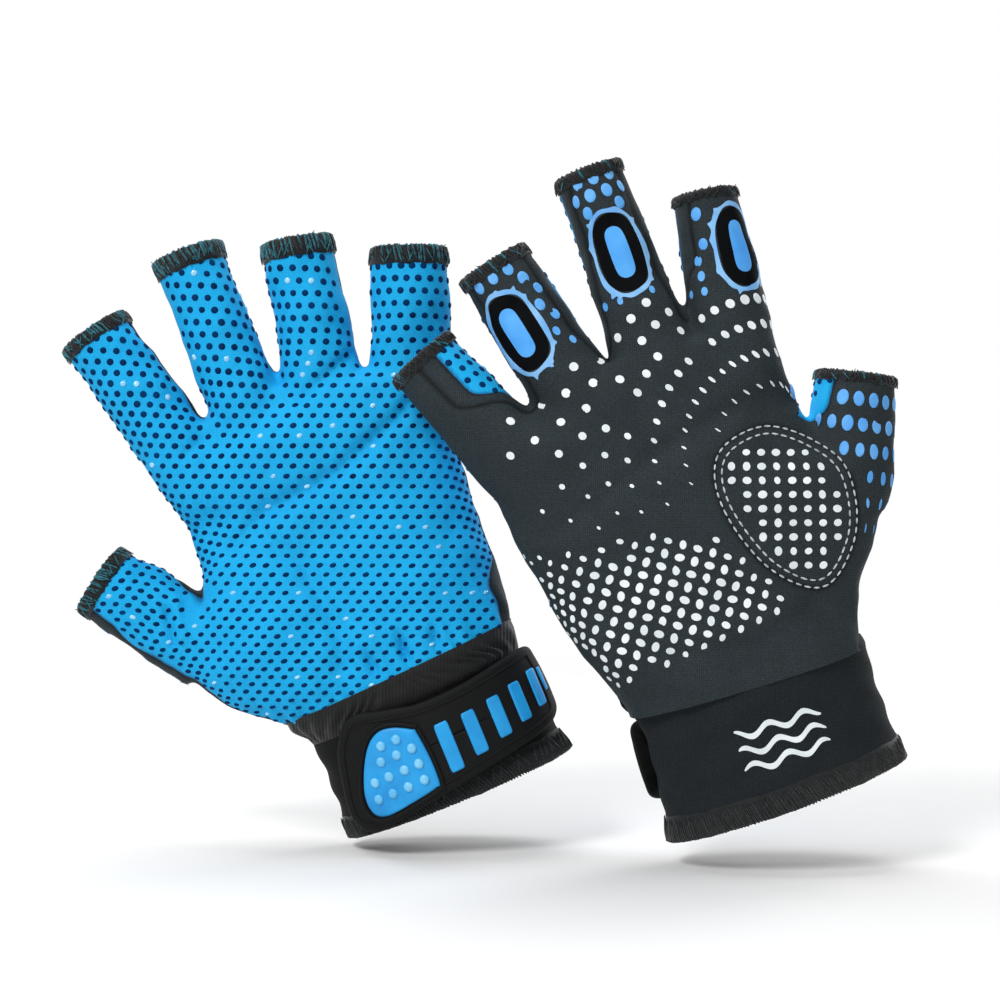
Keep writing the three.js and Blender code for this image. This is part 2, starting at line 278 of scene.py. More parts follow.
class Glove:
    """One glove's frame, fingers and skin."""

    def __init__(self, letter, mount):
        self.letter = letter
        self.body, self.strap_body = "glove_" + letter, "strap_" + letter
        self.hand = np.array(HANDS[letter], float)
        self.fingers = {n: Finger(n, **f) for n, f in FINGERS[letter].items()}
        up = -np.array(mount["axis"], float)
        out = np.array([0, 1, 0]) if letter == "a" else np.array([0, -1, 0])
        self.turn = np.column_stack([np.cross(out, up), out, up])
        self.place = np.array(mount["pos_m"], float)

    def world(self, points):
        """Local millimetres to world metres."""
        return np.asarray(points, float) * MM @ self.turn.T + self.place

    def name(self, piece):
        """A piece's name with the glove's letter."""
        return "{}_{}".format(piece, self.letter)

    def section(self, z):
        """Middle, half width and half depth of the hand at a height."""
        low, high, depth = (np.interp(z, self.hand[:, 0], self.hand[:, k]) for k in (1, 2, 3))
        return (low + high) / 2, (high - low) / 2, depth

    def hand_loft(self):
        """The hand without its fingers: rounded squares from the wrist to the forks."""
        sides, steps = 48, 44
        c, s = squared(np.linspace(0, 2 * math.pi, sides, endpoint=False), HAND_CORNERS)
        verts = []
        for z in np.linspace(34, 147, steps):
            middle, half, depth = self.section(z)
            verts.append(np.column_stack([middle + half * c, depth * s, np.full(sides, z)]))
        return np.vstack(verts), capped(steps, sides)

    def nearest_finger(self, points):
        """For each point its finger, with that finger's s, a and b."""
        best = np.full(len(points), np.inf)
        chosen = np.full(len(points), -1)
        local = np.zeros((len(points), 3))
        for k, finger in enumerate(self.fingers.values()):
            s, a, b = finger.local(points)
            away = finger.aside(points, s)
            low = -4.0 if finger.name == "thumb" else -16.0
            near = (s > low) & (away < (1.35 if finger.name == "thumb" else 9)) & (away < best)
            best[near], chosen[near] = away[near], k
            local[near] = np.column_stack([s, a, b])[near]
        return chosen, local


# --- Skin -----------------------------------------------------------------------------------

def bump(x, z, at, size, height):
    """A soft round rise of the surface."""
    away = ((x - at[0]) / size[0]) ** 2 + ((z - at[1]) / size[1]) ** 2
    return height * np.exp(-away)


def to_segment(x, z, p, q):
    """For each point the share along a segment where it is nearest, and the distance to it."""
    d = q - p
    t = np.clip(((x - p[0]) * d[0] + (z - p[1]) * d[1]) / (d @ d), 0, 1)
    return t, np.hypot(x - p[0] - t * d[0], z - p[1] - t * d[1])


def crease(x, z, line, width, depth, ends=6.0):
    """A fold along a line of points, fading at its ends."""
    line = np.array(line, float)
    best, along = np.full(len(x), 1e9), np.zeros(len(x))
    walked = 0.0
    for p, q in zip(line[:-1], line[1:]):
        length = np.hypot(*(q - p))
        t, away = to_segment(x, z, p, q)
        closer = away < best
        best[closer], along[closer] = away[closer], (walked + t * length)[closer]
        walked += length
    fade = smoothstep(along, 0, ends) * (1 - smoothstep(along, walked - ends, walked))
    return -depth * np.exp(-(best / width) ** 2) * fade


def waves(points, sizes, seed):
    """Smooth low-frequency noise, about -1 to 1, with one wavelength for each size."""
    rng = np.random.default_rng(seed)
    total = np.zeros(len(points))
    for size in sizes:
        for _ in range(4):
            direction = rng.normal(size=3)
            direction /= np.linalg.norm(direction)
            total += np.sin(points @ direction * (2 * math.pi / size) + rng.uniform(0, 6.3))
    return total / (2.2 * math.sqrt(len(sizes)))


def hand_shape(glove, points, normals):
    """How far the skin stands out along its normal: the hand's pads, hollows and folds."""
    x, _, z = points.T
    front = smoothstep(-normals[:, 1], 0.1, 0.6)
    back = smoothstep(normals[:, 1], 0.1, 0.6)
    thenar = bump(x, z, (-36, 72), (17, 22), 3.4)
    heel = bump(x, z, (24, 72), (15, 24), 2.6)
    knuckle_pads = bump(x, z, (0, 128), (42, 9), 1.8)
    hollow = bump(x, z, (-4, 92), (17, 26), -3.6) + bump(x, z, (-27, 112), (12, 10), -1.6)
    folds = (
        crease(x, z, [(-38, 104), (-18, 112), (8, 113), (34, 121), (46, 126)], 2.8, 1.9)
        + crease(x, z, [(-26, 110), (-14, 92), (-12, 66), (-16, 50)], 3.2, 1.6)
        + crease(x, z, [(4, 140), (18, 143), (34, 148)], 2.2, 1.3)
        + crease(x, z, [(-38, 138), (-24, 143)], 2.0, 0.9)
        + crease(x, z, [(-6, 45), (-7.5, 59)], 1.5, 1.9)
        + crease(x, z, [(4, 45), (5.5, 60)], 1.5, 2.1)
        + crease(x, z, [(14.5, 45), (16.5, 57)], 1.4, 1.7)
        + crease(x, z, [(-60, 99), (-64, 82)], 1.6, 1.6, 4)
        - crease(x, z, [(-57, 100), (-61, 82)], 1.8, 0.9, 4)
    )
    hollow += bump(x, z, (-37, 114), (8, 9), -2.4)
    shape = front * (thenar + heel + knuckle_pads + hollow + 1.25 * folds)
    knuckles = sum(
        bump(x, z, at, (8.5, 9), 2.2) for at in ((-31, 137), (-6, 140), (17, 137), (38, 128))
    )
    ridges = (
        crease(x, z, [(-44, 118), (-22, 124), (6, 117), (30, 108), (52, 100)], 3.2, 1.0)
        + crease(x, z, [(-30, 60), (-4, 52), (26, 56)], 3.0, 0.8)
        + crease(x, z, [(2, 132), (-8, 116), (-20, 108)], 2.4, 0.5)
    )
    shape += back * (knuckles + ridges + bump(x, z, (4, 96), (34, 30), 2.0))
    gathers = np.exp(-((z - CUFF_TOP - 4) / 8.0) ** 2)
    shape += gathers * ((0.1 + 0.35 * front) * np.sin(x * 0.82 + 1.2 * np.sin(x * 0.31)) - 0.3)
    fine = 0.1 * waves(points, (7.5, 5.5), 3 + ord(glove.letter))
    return shape + 0.42 * waves(points, (38, 21, 13), ord(glove.letter)) + fine


def skin(glove):
    """The whole outside of the glove from wrist to past the fingertips, as points and faces."""
    parts = [glove.hand_loft()] + [f.tube() for f in glove.fingers.values()]
    rough = mesh_object("skin", *joined(parts))
    remesh = rough.modifiers.new("remesh", "REMESH")
    remesh.mode, remesh.voxel_size = "VOXEL", VOXEL
    smooth = rough.modifiers.new("smooth", "SMOOTH")
    smooth.factor, smooth.iterations = 0.5, round(26 / VOXEL)
    points, faces = settled(rough)
    normals = vertex_normals(points, faces)
    points = points + normals * hand_shape(glove, points, normals)[:, None]
    return points, faces


# --- Seams: fields that are zero along a seam, in millimetres --------------------------------

FORKS = ("index_middle", "middle_ring", "ring_little")
GUSSET_WIDTH = 6.5
INDEX_WRAP = {"a": 1.0, "b": 6.4}
PATCH_OUTLINES = {
    "a": [(-10, 111), (-30, 114), (-43, 103), (-48, 90), (-42, 73), (-31, 63), (-18, 69), (-9, 88)],
    "b": [(-9, 111), (-26, 115), (-42, 104), (-47, 91), (-42, 73), (-28, 62), (-13, 73), (-5, 95)],
}


def closed_curve(points, steps=14):
    """A smooth closed curve through a few points."""
    p = np.array(points, float)
    t = np.linspace(0, 1, steps, endpoint=False)[:, None]
    out = []
    for k in range(len(p)):
        a, b, c, d = p[k - 1], p[k], p[(k + 1) % len(p)], p[(k + 2) % len(p)]
        out.append(0.5 * (2 * b + (c - a) * t + (2 * a - 5 * b + 4 * c - d) * t ** 2
                          + (3 * b - a - 3 * c + d) * t ** 3))
    return np.vstack(out)


def inside_distance(x, z, outline):
    """Distance to a closed outline, positive inside it."""
    best, crossings = np.full(len(x), 1e9), np.zeros(len(x), int)
    for p, q in zip(outline, np.roll(outline, -1, axis=0)):
        d = q - p
        best = np.minimum(best, to_segment(x, z, p, q)[1])
        spans = (p[1] > z) != (q[1] > z)
        if spans.any():
            at = p[0] + (z - p[1]) / (d[1] if d[1] else 1e-9) * d[0]
            crossings += spans & (x < at)
    return np.where(crossings % 2, best, -best)


def side_seam(x, z):
    """How far the palm fabric stops short of the middle of the hand's side."""
    thenar = smoothstep(-x, 30, 40) * (1 - smoothstep(z, 92, 106))
    heel = smoothstep(x, 30, 38) * (1 - smoothstep(z, 58, 72))
    return -1.0 - 6.5 * thenar - 10.5 * heel


def side_room(glove, chosen, local):
    """How far the plain edge of the palm fabric wraps round a finger's side."""
    if glove.letter == "b":
        return np.zeros(len(chosen))
    s, a = local[:, 0], local[:, 1]
    left, right = (chosen == 1) * smoothstep(-a, -2, 2), (chosen == 2) * smoothstep(a, -2, 2)
    return 4.6 * (left + right) * smoothstep(s, -11, 1)


def seam_fields(glove, points):
    """Columns: past a fingertip, below the wrist, palm edge, back edge, thumb, patch."""
    chosen, local = glove.nearest_finger(points)
    x, y, z = points.T
    s, a, b = local.T
    on_finger = chosen >= 0
    lengths = np.array([f.length for f in glove.fingers.values()])
    past = np.where(on_finger, s - lengths[chosen], -20.0)
    grip = np.where(on_finger, smoothstep(s, 2, 16), 0.0)
    level = (1 - grip) * (y - side_seam(x, z)) + grip * b
    forks = np.array([(0, 1), (1, 1), (1, 1), (1, 0), (0, 0)])
    left, right = forks[chosen].T
    share = left * smoothstep(-a, -3, 3) + right * smoothstep(a, -3, 3)
    grown = share * smoothstep(s, -11, 1)
    gusset = np.where((chosen == 0) & (glove.letter == "b"), 2.6, GUSSET_WIDTH)
    strip = np.where(on_finger, gusset * grown, 0.0)
    wrap = np.where(chosen == 0, INDEX_WRAP[glove.letter] * grown, 0.0)
    thumb = glove.fingers["thumb"]
    ts, ta, _ = thumb.local(points)
    thumb_edge = np.minimum(ts + 3.5, np.minimum(17 - ta, 24 + ta))
    outline = closed_curve(PATCH_OUTLINES[glove.letter])
    patch = np.where(y > 2, inside_distance(x, z, outline), -20.0)
    ripple = 0.35 * np.sin(x * 1.3) + 0.3 * np.sin(x * 0.47 + 1)
    wrist = np.where(y < -2, CUFF_TOP + 1.8 + ripple, CUFF_TOP - 3)
    return np.column_stack(
        [np.maximum(past, -20), wrist - z, level + wrap - side_room(glove, chosen, local),
         level - strip, thumb_edge, patch]
    )


# The columns of seam_fields, and where they start in a vertex row after its point and normal.
PAST, BELOW, PALM_EDGE, BACK_EDGE, THUMB, PATCH = range(6)
FIELDS = 6


def cut(rows, faces, column):
    """Splits triangles where a column of the vertex rows crosses zero, and keeps both sides."""
    value = rows[:, column].copy()
    value[np.abs(value) < 0.12] = 0.0
    rows = rows.copy()
    rows[:, column] = value
    signs = np.sign(value)[faces]
    crossing = (signs.min(axis=1) < 0) & (signs.max(axis=1) > 0)
    kept = faces[~crossing]
    added, made, new_faces = [], {}, []

    def middle(i, j):
        key = (min(i, j), max(i, j))
        if key not in made:
            share = value[i] / (value[i] - value[j])
            row = rows[i] + (rows[j] - rows[i]) * share
            row[column] = 0.0
            made[key] = len(rows) + len(added)
            added.append(row)
        return made[key]

    for tri in faces[crossing]:
        v = value[tri]
        zero = np.flatnonzero(v == 0)
        if len(zero) == 1:
            i, j, k = np.roll(tri, -zero[0])
            m = middle(j, k)
            new_faces += [(i, j, m), (i, m, k)]
            continue
        lone = next(n for n in range(3) if np.sign(v[n]) not in np.sign(np.delete(v, n)))
        i, j, k = np.roll(tri, -lone)
        p, q = middle(i, j), middle(i, k)
        new_faces += [(i, p, q), (p, j, k), (p, k, q)]
    rows = np.vstack([rows, np.array(added)]) if added else rows
    return rows, np.vstack([kept, np.array(new_faces, int)]) if new_faces else kept


class Skin:
    """A glove's cut skin: vertex rows, triangles and the panel that each triangle belongs to."""

    def __init__(self, glove):
        points, quads = skin(glove)
        fields = seam_fields(glove, points)
        normals = vertex_normals(points, quads)
        edges = np.min(np.abs(fields[:, [PALM_EDGE, BACK_EDGE]]), axis=1)
        groove = 0.36 * np.exp(-(edges / 1.1) ** 2)
        raised = 0.5 * smoothstep(fields[:, PATCH], -1.2, 1.0)
        points = points + normals * (raised - groove)[:, None]
        self.whole = (points, quads)
        rows = np.column_stack([points, normals, fields])
        tris = halved(quads)
        for column in range(fields.shape[1]):
            rows, tris = cut(rows, tris, FIELDS + column)
            if column in (PAST, BELOW):
                tris = tris[rows[:, FIELDS + column][tris].mean(axis=1) <= 0]
        self.rows, self.faces = rows, tris
        middle = rows[:, FIELDS:][tris].mean(axis=1)
        face_finger, local = glove.nearest_finger(rows[:, :3][tris].mean(axis=1))
        palm, back = middle[:, PALM_EDGE] < 0, middle[:, BACK_EDGE] > 0
        on_thumb = middle[:, THUMB] > 0
        panel = np.where(palm, "palm", np.where(back, "back", "fourchette"))
        fork = np.clip(face_finger + np.where(local[:, 1] > 0, 0, -1), 0, len(FORKS) - 1)
        gussets = np.char.add("fourchette_", np.array(FORKS)[fork])
        panel = np.where(panel == "fourchette", gussets, panel)
        panel = np.where(on_thumb & palm, "thumb_palm", panel)
        panel = np.where(on_thumb & back, "thumb_back", panel)
        panel = np.where((middle[:, PATCH] > 0) & back, "patch", panel)
        self.panel = panel

    def part(self, *names):
        """The vertex rows and triangles of some panels."""
        tris = self.faces[np.isin(self.panel, names)]
        used, tris = np.unique(tris, return_inverse=True)
        return self.rows[used], tris.reshape(-1, 3)


# --- Fabric coordinates: where a point lies on the flat palm or back fabric -------------------

def hand_arc(glove, points):
    """Distance across the hand's front or back, carried on round its sides."""
    middle, half, depth = glove.section(points[:, 2])
    round_side = np.maximum(0, 0.6 * depth - np.abs(points[:, 1]))
    return points[:, 0] + np.clip((points[:, 0] - middle) / (0.5 * half), -1, 1) * round_side


def fabric(glove, points, side):
    """Flat (u, v) of points on the palm (side -1) or back (side 1)."""
    u, v = hand_arc(glove, points), points[:, 2].copy()
    for finger in glove.fingers.values():
        s, a, b = finger.local(points)
        away = finger.aside(points, s)
        weight = smoothstep(s, -14, 8) * (1 - smoothstep(away, 1.15, 1.5))
        if finger.name == "thumb":
            weight = smoothstep(s, -8, 10) * (away < 1.4) * (points[:, 0] < finger.root[0] + 16)
        arc = finger.arc(s, a, side * b)
        lean = math.atan2(finger.along[0], finger.along[2])
        start = hand_arc(glove, (finger.root + [0, 12 * side, 0])[None])[0]
        fu = start + arc * math.cos(lean) + s * math.sin(lean)
        fv = finger.root[2] - arc * math.sin(lean) + s * math.cos(lean)
        u, v = u + (fu - u) * weight, v + (fv - v) * weight
    return u, v


OFF_GRID = 1e4  # a coordinate as large as this marks a place without spots


def spots_on(rows, tris, grid):
    """Where whole numbers of the grid coordinates fall on triangles: indices, points and frames."""
    corner = grid[tris]
    cell = np.round(corner.mean(axis=1))
    e1, e2 = corner[:, 1] - corner[:, 0], corner[:, 2] - corner[:, 0]
    d = cell - corner[:, 0]
    area = cross2(e1, e2)
    area = np.where(np.abs(area) < 1e-9, 1e-9, area)
    p, q = cross2(d, e2) / area, cross2(e1, d) / area
    hit = (p >= 0) & (q >= 0) & (p + q < 1) & (np.abs(corner[:, :, 0]).max(1) < OFF_GRID)
    hit = np.flatnonzero(hit)
    seen, cells = set(), []
    for k in hit:
        key = (int(cell[k, 0]), int(cell[k, 1]), int(rows[tris[k, 0], 0] // 12))
        if key not in seen:
            seen.add(key)
            cells.append(k)
    hit = np.array(cells, int)
    points = rows[tris[hit], :3]
    p, q = p[hit, None], q[hit, None]
    spot = points[:, 0] * (1 - p - q) + points[:, 1] * p + points[:, 2] * q
    x1, x2 = points[:, 1] - points[:, 0], points[:, 2] - points[:, 0]
    e1, e2, area = e1[hit], e2[hit], area[hit, None]
    tangent = (x1 * e2[:, 1:] - x2 * e1[:, 1:]) / area
    normal = unit(np.cross(x1, x2))
    fields = rows[tris[hit], FIELDS:].mean(axis=1)
    return cell[hit], spot, normal, tangent, fields


def apart(spots, least):
    """Which spots to keep so that no two are closer than the least distance."""
    keep = np.ones(len(spots), bool)
    for k in range(len(spots)):
        if keep[k]:
            near = np.linalg.norm(spots[k + 1:] - spots[k], axis=1) < least
            keep[k + 1:] &= ~near
    return keep


# Profiles of small pads: share of the radius and height, from the rim to the top.
DOME = [(1.0, -0.12), (0.93, 0.14), (0.6, 0.34), (0.0, 0.4)]
PRINT = [(1.0, -0.05), (0.95, 0.06), (0.5, 0.075), (0.0, 0.075)]
STITCH = [(1.0, -0.15), (0.97, 0.08), (0.7, 0.2), (0.0, 0.24)]
NUB = [(1.0, -0.2), (0.97, 0.35), (0.8, 0.72), (0.45, 0.9), (0.0, 0.95)]


def stamp(spots, normals, along, half_along, half_across, profile, sides):
    """One mesh of small round pads, each an ellipse lying on the surface."""
    along = unit(along - normals * np.sum(along * normals, axis=1, keepdims=True))
    across = np.cross(normals, along)
    angles = np.linspace(0, 2 * math.pi, sides, endpoint=False)
    shape = [(r * math.cos(t), r * math.sin(t), h) for r, h in profile[:-1] for t in angles]
    shape = np.array(shape + [(0, 0, profile[-1][1])])
    rings = len(profile) - 1
    faces = ring_faces(rings, sides)
    top = rings * sides
    faces += [((rings - 1) * sides + k, (rings - 1) * sides + (k + 1) % sides, top)
              for k in range(sides)]
    verts = (
        spots[:, None]
        + along[:, None] * (shape[:, 0] * np.asarray(half_along)[:, None])[..., None]
        + across[:, None] * (shape[:, 1] * np.asarray(half_across)[:, None])[..., None]
        + normals[:, None] * shape[None, :, 2, None]
    )
    count = len(shape)
    out = [tuple(i + n * count for i in f) for n in range(len(spots)) for f in faces]
    return verts.reshape(-1, 3), out


# --- Raised dots on the palm ------------------------------------------------------------------

DOT_PITCH = 4.33
ROW_PITCH = [(30, 2.5), (60, 2.75), (91, 3.3), (131, 3.3), (150, 4.0), (230, 4.3)]
PALM_TILT = math.radians(25)


def palm_dots(glove, panels):
    """Silicone grip dots in staggered rows that slope across the palm; a few are pale, as painted
    glints.
    """
    rows, tris = panels.part("palm", "thumb_palm")
    u, v = fabric(glove, rows[:, :3], -1)
    p = u * math.cos(PALM_TILT) - v * math.sin(PALM_TILT)
    q = u * math.sin(PALM_TILT) + v * math.cos(PALM_TILT)
    heights = np.linspace(-20, 260, 600)
    pitch = np.interp(heights, *np.array(ROW_PITCH).T)
    counted = np.concatenate([[0], np.cumsum(np.diff(heights) / pitch[:-1])])
    j = np.interp(q, heights, counted)
    grid = np.column_stack([p / DOT_PITCH - 0.5 * j, j])
    _, spot, normal, tangent, fields = spots_on(rows, tris, grid)
    chosen, local = glove.nearest_finger(spot)
    plain = side_room(glove, chosen, local)
    clear = (fields[:, PAST] < -3.5) & (fields[:, PALM_EDGE] < -1.3 - plain)
    clear &= (fields[:, BELOW] < -1) & (np.abs(fields[:, THUMB]) > 0.9) & apart(spot, 2.3)
    spot, normal, tangent = spot[clear], normal[clear], tangent[clear]
    share = np.interp(spot[:, 2], [60, 95, 140, 160], [0.6, 0.66, 0.8, 1.0])
    half = 1.16 * RANDOM.uniform(0.93, 1.05, len(spot))
    tangent = turned(tangent, normal, np.full(len(spot), 20.0))
    # About one dot in twenty is pale: a painted glint in place of the highlight on a bead.
    painted_glints = RANDOM.random(len(spot)) < 0.045
    return [
        stamp(spot[m], normal[m], tangent[m], half[m] * grow, half[m] * share[m] * grow, DOME, 12)
        for m, grow in ((~painted_glints, 1.0), (painted_glints, 0.92))
    ]


# --- Materials ------------------------------------------------------------------------------

class Nodes:
    """A new material with a Principled shader and short ways to add the nodes that feed it."""

    def __init__(self, name, **sockets):
        self.material = bpy.data.materials.new(name)
        self.material.use_nodes = True
        self.tree = self.material.node_tree
        self.shader = self.tree.nodes["Principled BSDF"]
        for key, value in sockets.items():
            self.shader.inputs[key.replace("_", " ")].default_value = value
        self.place = self.add("ShaderNodeTexCoord").outputs["Object"]

    def add(self, kind, inputs=(), **settings):
        """A node with its settings, and inputs that are values or other nodes' outputs."""
        node = self.tree.nodes.new(kind)
        for key, value in settings.items():
            setattr(node, key, value)
        for key, value in dict(inputs).items():
            if isinstance(value, bpy.types.NodeSocket):
                self.tree.links.new(value, node.inputs[key])
            else:
                node.inputs[key].default_value = value
        return node

    def noise(self, size, detail=2.0, rough=0.5):
        """Soft noise with features of a size in millimetres."""
        return self.add(
            "ShaderNodeTexNoise",
            {"Vector": self.place, "Scale": 1 / (size * MM), "Detail": detail, "Roughness": rough},
        ).outputs["Fac"]

    def bands(self, size, direction, twist=0.0):
        """Parallel stripes, size millimetres wide."""
        return self.add(
            "ShaderNodeTexWave",
            {"Vector": self.place, "Scale": 0.3142 / (size * MM), "Distortion": twist,
             "Detail": 1.0, "Detail Scale": 2.0},
            wave_type="BANDS", bands_direction=direction,
        ).outputs["Fac"]

    def maths(self, operation, a, b):
        """One operation on two values."""
        return self.add("ShaderNodeMath", {0: a, 1: b}, operation=operation).outputs[0]

    def ramp(self, factor, low, high):
        """0 to 1 as the factor goes from low to high."""
        return self.add(
            "ShaderNodeMapRange", {"Value": factor, "From Min": low, "From Max": high}
        ).outputs["Result"]

    def mix(self, factor, a, b):
        """A colour between two others. The numbers are the node's colour sockets."""
        return self.add("ShaderNodeMix", {0: factor, 6: a, 7: b}, data_type="RGBA").outputs[2]

    def attribute(self, name):
        """A value stored on the mesh."""
        return self.add("ShaderNodeAttribute", attribute_name=name).outputs["Fac"]

    def feed(self, socket, value):
        """Joins an output to a socket of the shader."""
        self.tree.links.new(value, self.shader.inputs[socket])

    def bump(self, height, distance):
        """Relief of a distance in millimetres."""
        node = self.add("ShaderNodeBump", {"Height": height, "Distance": distance * MM})
        self.feed("Normal", node.outputs["Normal"])


def rgb(red, green, blue):
    """A colour from its usual 0 to 255 values."""
    return tuple((c / 255) ** 2.2 for c in (red, green, blue)) + (1.0,)


def knit(name, light, dark, seam, weave=0.62, rough=0.82, sheen=0.35, fleck=0.25, bump=0.07):
    """Stretch jersey: fine wales and courses, soft blotches, and darker along its seams, partly as
    dirt and partly as painted shade.
    """
    n = Nodes(name, Roughness=rough, Sheen_Weight=sheen, Sheen_Roughness=0.4,
              Specular_IOR_Level=0.25)
    n.shader.inputs["Sheen Tint"].default_value = light
    wales = n.maths("MULTIPLY", n.bands(weave, "X", 0.6), n.bands(weave * 0.8, "Z", 0.6))
    fine = n.noise(0.45, 3.0, 0.6)
    blotch = n.ramp(n.noise(16, 3.0), 0.3, 0.72)
    shade = n.maths("ADD", n.maths("MULTIPLY", n.ramp(fine, 0.3, 0.7), fleck),
                    n.maths("MULTIPLY", wales, fleck))
    cloth = n.mix(shade, dark, light)
    cloth = n.mix(n.maths("MULTIPLY", blotch, 0.3), cloth, dark)
    # Along the seams the cloth turns toward the seam colour: partly dirt, partly painted shade.
    n.feed("Base Color", n.mix(n.attribute("seam"), cloth, seam))
    n.bump(n.maths("ADD", wales, n.maths("MULTIPLY", fine, 0.8)), bump)
    return n.material


def cord_thread(name, light, dark, rough=0.75):
    """Twisted sewing thread."""
    n = Nodes(name, Roughness=rough, Sheen_Weight=0.25, Specular_IOR_Level=0.3)
    n.feed("Base Color", n.mix(n.ramp(n.noise(1.4, 3.0), 0.35, 0.65), dark, light))
    n.bump(n.noise(0.3, 2.0), 0.06)
    return n.material


def rubber(name, light, dark, rough, grain=0.35, depth=0.015, coat=0.0, specular=0.5):
    """Moulded or printed rubber with a faint grain."""
    n = Nodes(name, Roughness=rough, Coat_Weight=coat, Coat_Roughness=0.2,
              Specular_IOR_Level=specular)
    n.feed("Base Color", n.mix(n.ramp(n.noise(9, 3.0), 0.3, 0.7), light, dark))
    n.bump(n.noise(grain, 3.0), depth)
    return n.material


def webbing(name, light, dark, rib, direction, rough=0.7, bump=0.12):
    """Woven or ribbed elastic with cords of one width."""
    n = Nodes(name, Roughness=rough, Sheen_Weight=0.2, Specular_IOR_Level=0.3)
    ribs = n.bands(rib, direction, 0.3)
    cross = n.bands(rib * 0.55, "Z" if direction == "X" else "X", 0.3)
    weave = n.maths("ADD", ribs, n.maths("MULTIPLY", cross, 0.4))
    shade = n.maths("MULTIPLY", weave, n.ramp(n.noise(3, 3.0), 0.1, 0.8))
    n.feed("Base Color", n.mix(shade, dark, light))
    n.bump(weave, bump)
    return n.material


def make_materials():
    """The materials of all the pieces, by name."""
    return {
        # The third colour of each knit is the one laid along its seams: partly dirt, partly painted
        # shade.
        "palm": knit("palm_knit", rgb(46, 198, 248), rgb(12, 152, 214), rgb(5, 62, 110), sheen=0.08),
        "back": knit("back_knit", rgb(66, 76, 80), rgb(22, 29, 32), rgb(8, 10, 11), fleck=0.42,
                     sheen=0.3),
        "black": knit("black_knit", rgb(14, 18, 20), rgb(4, 6, 7), rgb(3, 4, 5), fleck=0.35,
                      sheen=0.12),
        "cuff": knit("cuff_knit", rgb(44, 53, 58), rgb(12, 16, 18), rgb(5, 6, 7), weave=0.75,
                     fleck=0.42, sheen=0.16, bump=0.1),
        "elastic": webbing("gathered_elastic", rgb(10, 13, 15), rgb(2, 3, 4), 1.1, "X"),
        "tape": webbing("hook_and_loop", rgb(32, 33, 36), rgb(12, 12, 14), 0.7, "X", 0.9, 0.3),
        "strap": knit("strap_cloth", rgb(11, 15, 17), rgb(3, 5, 6), rgb(3, 4, 5), weave=0.45,
                      rough=0.7, fleck=0.3, sheen=0.08, bump=0.05),
        "blue_rubber": rubber("blue_rubber", rgb(22, 158, 226), rgb(12, 138, 208), 0.5),
        "nub": rubber("nub_rubber", rgb(130, 204, 238), rgb(84, 176, 228), 0.32),
        "dot": rubber("dot_silicone", rgb(2, 58, 104), rgb(1, 36, 72), 0.7, specular=0.06),
        # A pale, glossy copy of the dot silicone: its light colour is a painted glint.
        "pearl": rubber("pearl_silicone", rgb(160, 215, 240), rgb(110, 185, 232), 0.16, coat=0.7),
        "white_ink": rubber("white_ink", rgb(232, 238, 240), rgb(205, 214, 218), 0.6, depth=0.03,
                            specular=0.3),
        "blue_ink": rubber("blue_ink", rgb(104, 172, 234), rgb(76, 150, 222), 0.62, depth=0.03,
                           specular=0.3),
        "pale_ink": rubber("pale_blue_ink", rgb(140, 190, 232), rgb(96, 158, 220), 0.62, depth=0.03,
                           specular=0.3),
        "slot_ink": rubber("slot_ink", rgb(92, 168, 236), rgb(72, 150, 226), 0.75, depth=0.03,
                           specular=0.12),
        "black_ink": rubber("black_ink", rgb(17, 19, 22), rgb(8, 9, 12), 0.85, depth=0.03,
                            specular=0.08),
        "teal_thread": cord_thread("teal_thread", rgb(36, 112, 124), rgb(10, 56, 68)),
        "black_thread": cord_thread("black_thread", rgb(19, 25, 28), rgb(6, 9, 10)),
        "pale_thread": cord_thread("pale_thread", rgb(196, 202, 206), rgb(150, 158, 166)),
    }


# --- Pieces ---------------------------------------------------------------------------------

def piece(glove, name, verts, faces, materials, slot, body, nodes=(), sharp=50, index=None):
    """A piece of a glove from local millimetres, with its materials, body and CAD nodes. Its slot is
    not used.
    """
    obj = mesh_object(glove.name(name), glove.world(verts), faces)
    obj.data.set_sharp_from_angle(angle=math.radians(sharp))
    for material in materials:
        obj.data.materials.append(material)
    if index is not None:
        obj.data.polygons.foreach_set("material_index", np.asarray(index, np.int32))
    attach(obj, body)
    if nodes:
        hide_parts(*["glove_{}_{}".format(glove.letter, n) for n in nodes])
    return obj


def shell(points, normals, tris, thick):
    """A panel with an inner face and a rim, from its outer face."""
    count = len(points)
    normals = unit(normals)
    inner = points - normals * thick
    edges = np.vstack([tris[:, [0, 1]], tris[:, [1, 2]], tris[:, [2, 0]]])
    seen = {tuple(e) for e in edges.tolist()}
    rim = [(b, a, a + count, b + count) for a, b in seen if (b, a) not in seen]
    faces = [tuple(t) for t in tris.tolist()]
    faces += [tuple(i + count for i in reversed(t)) for t in tris.tolist()]
    return np.vstack([points, inner]), faces + rim


PANEL_THICK = 1.3
# For each panel of the skin: the piece's name, its slot, its material and its CAD node.
PANELS = {
    "palm": ("palm", "palm_fabric", "palm", "palm_panel"),
    "thumb_palm": ("thumb_palm", "palm_fabric", "palm", "thumb_palm_panel"),
    "back": ("back", "back_fabric", "back", "back_panel"),
    "thumb_back": ("thumb_back", "back_fabric", "back", "thumb_back_panel"),
    "patch": ("thumb_patch_panel", "patch_fabric", "back", "thumb_patch"),
}
PANELS.update({
    "fourchette_" + fork: ("gusset_" + fork, "side_fabric", "back", "fourchette_" + fork)
    for fork in FORKS
})


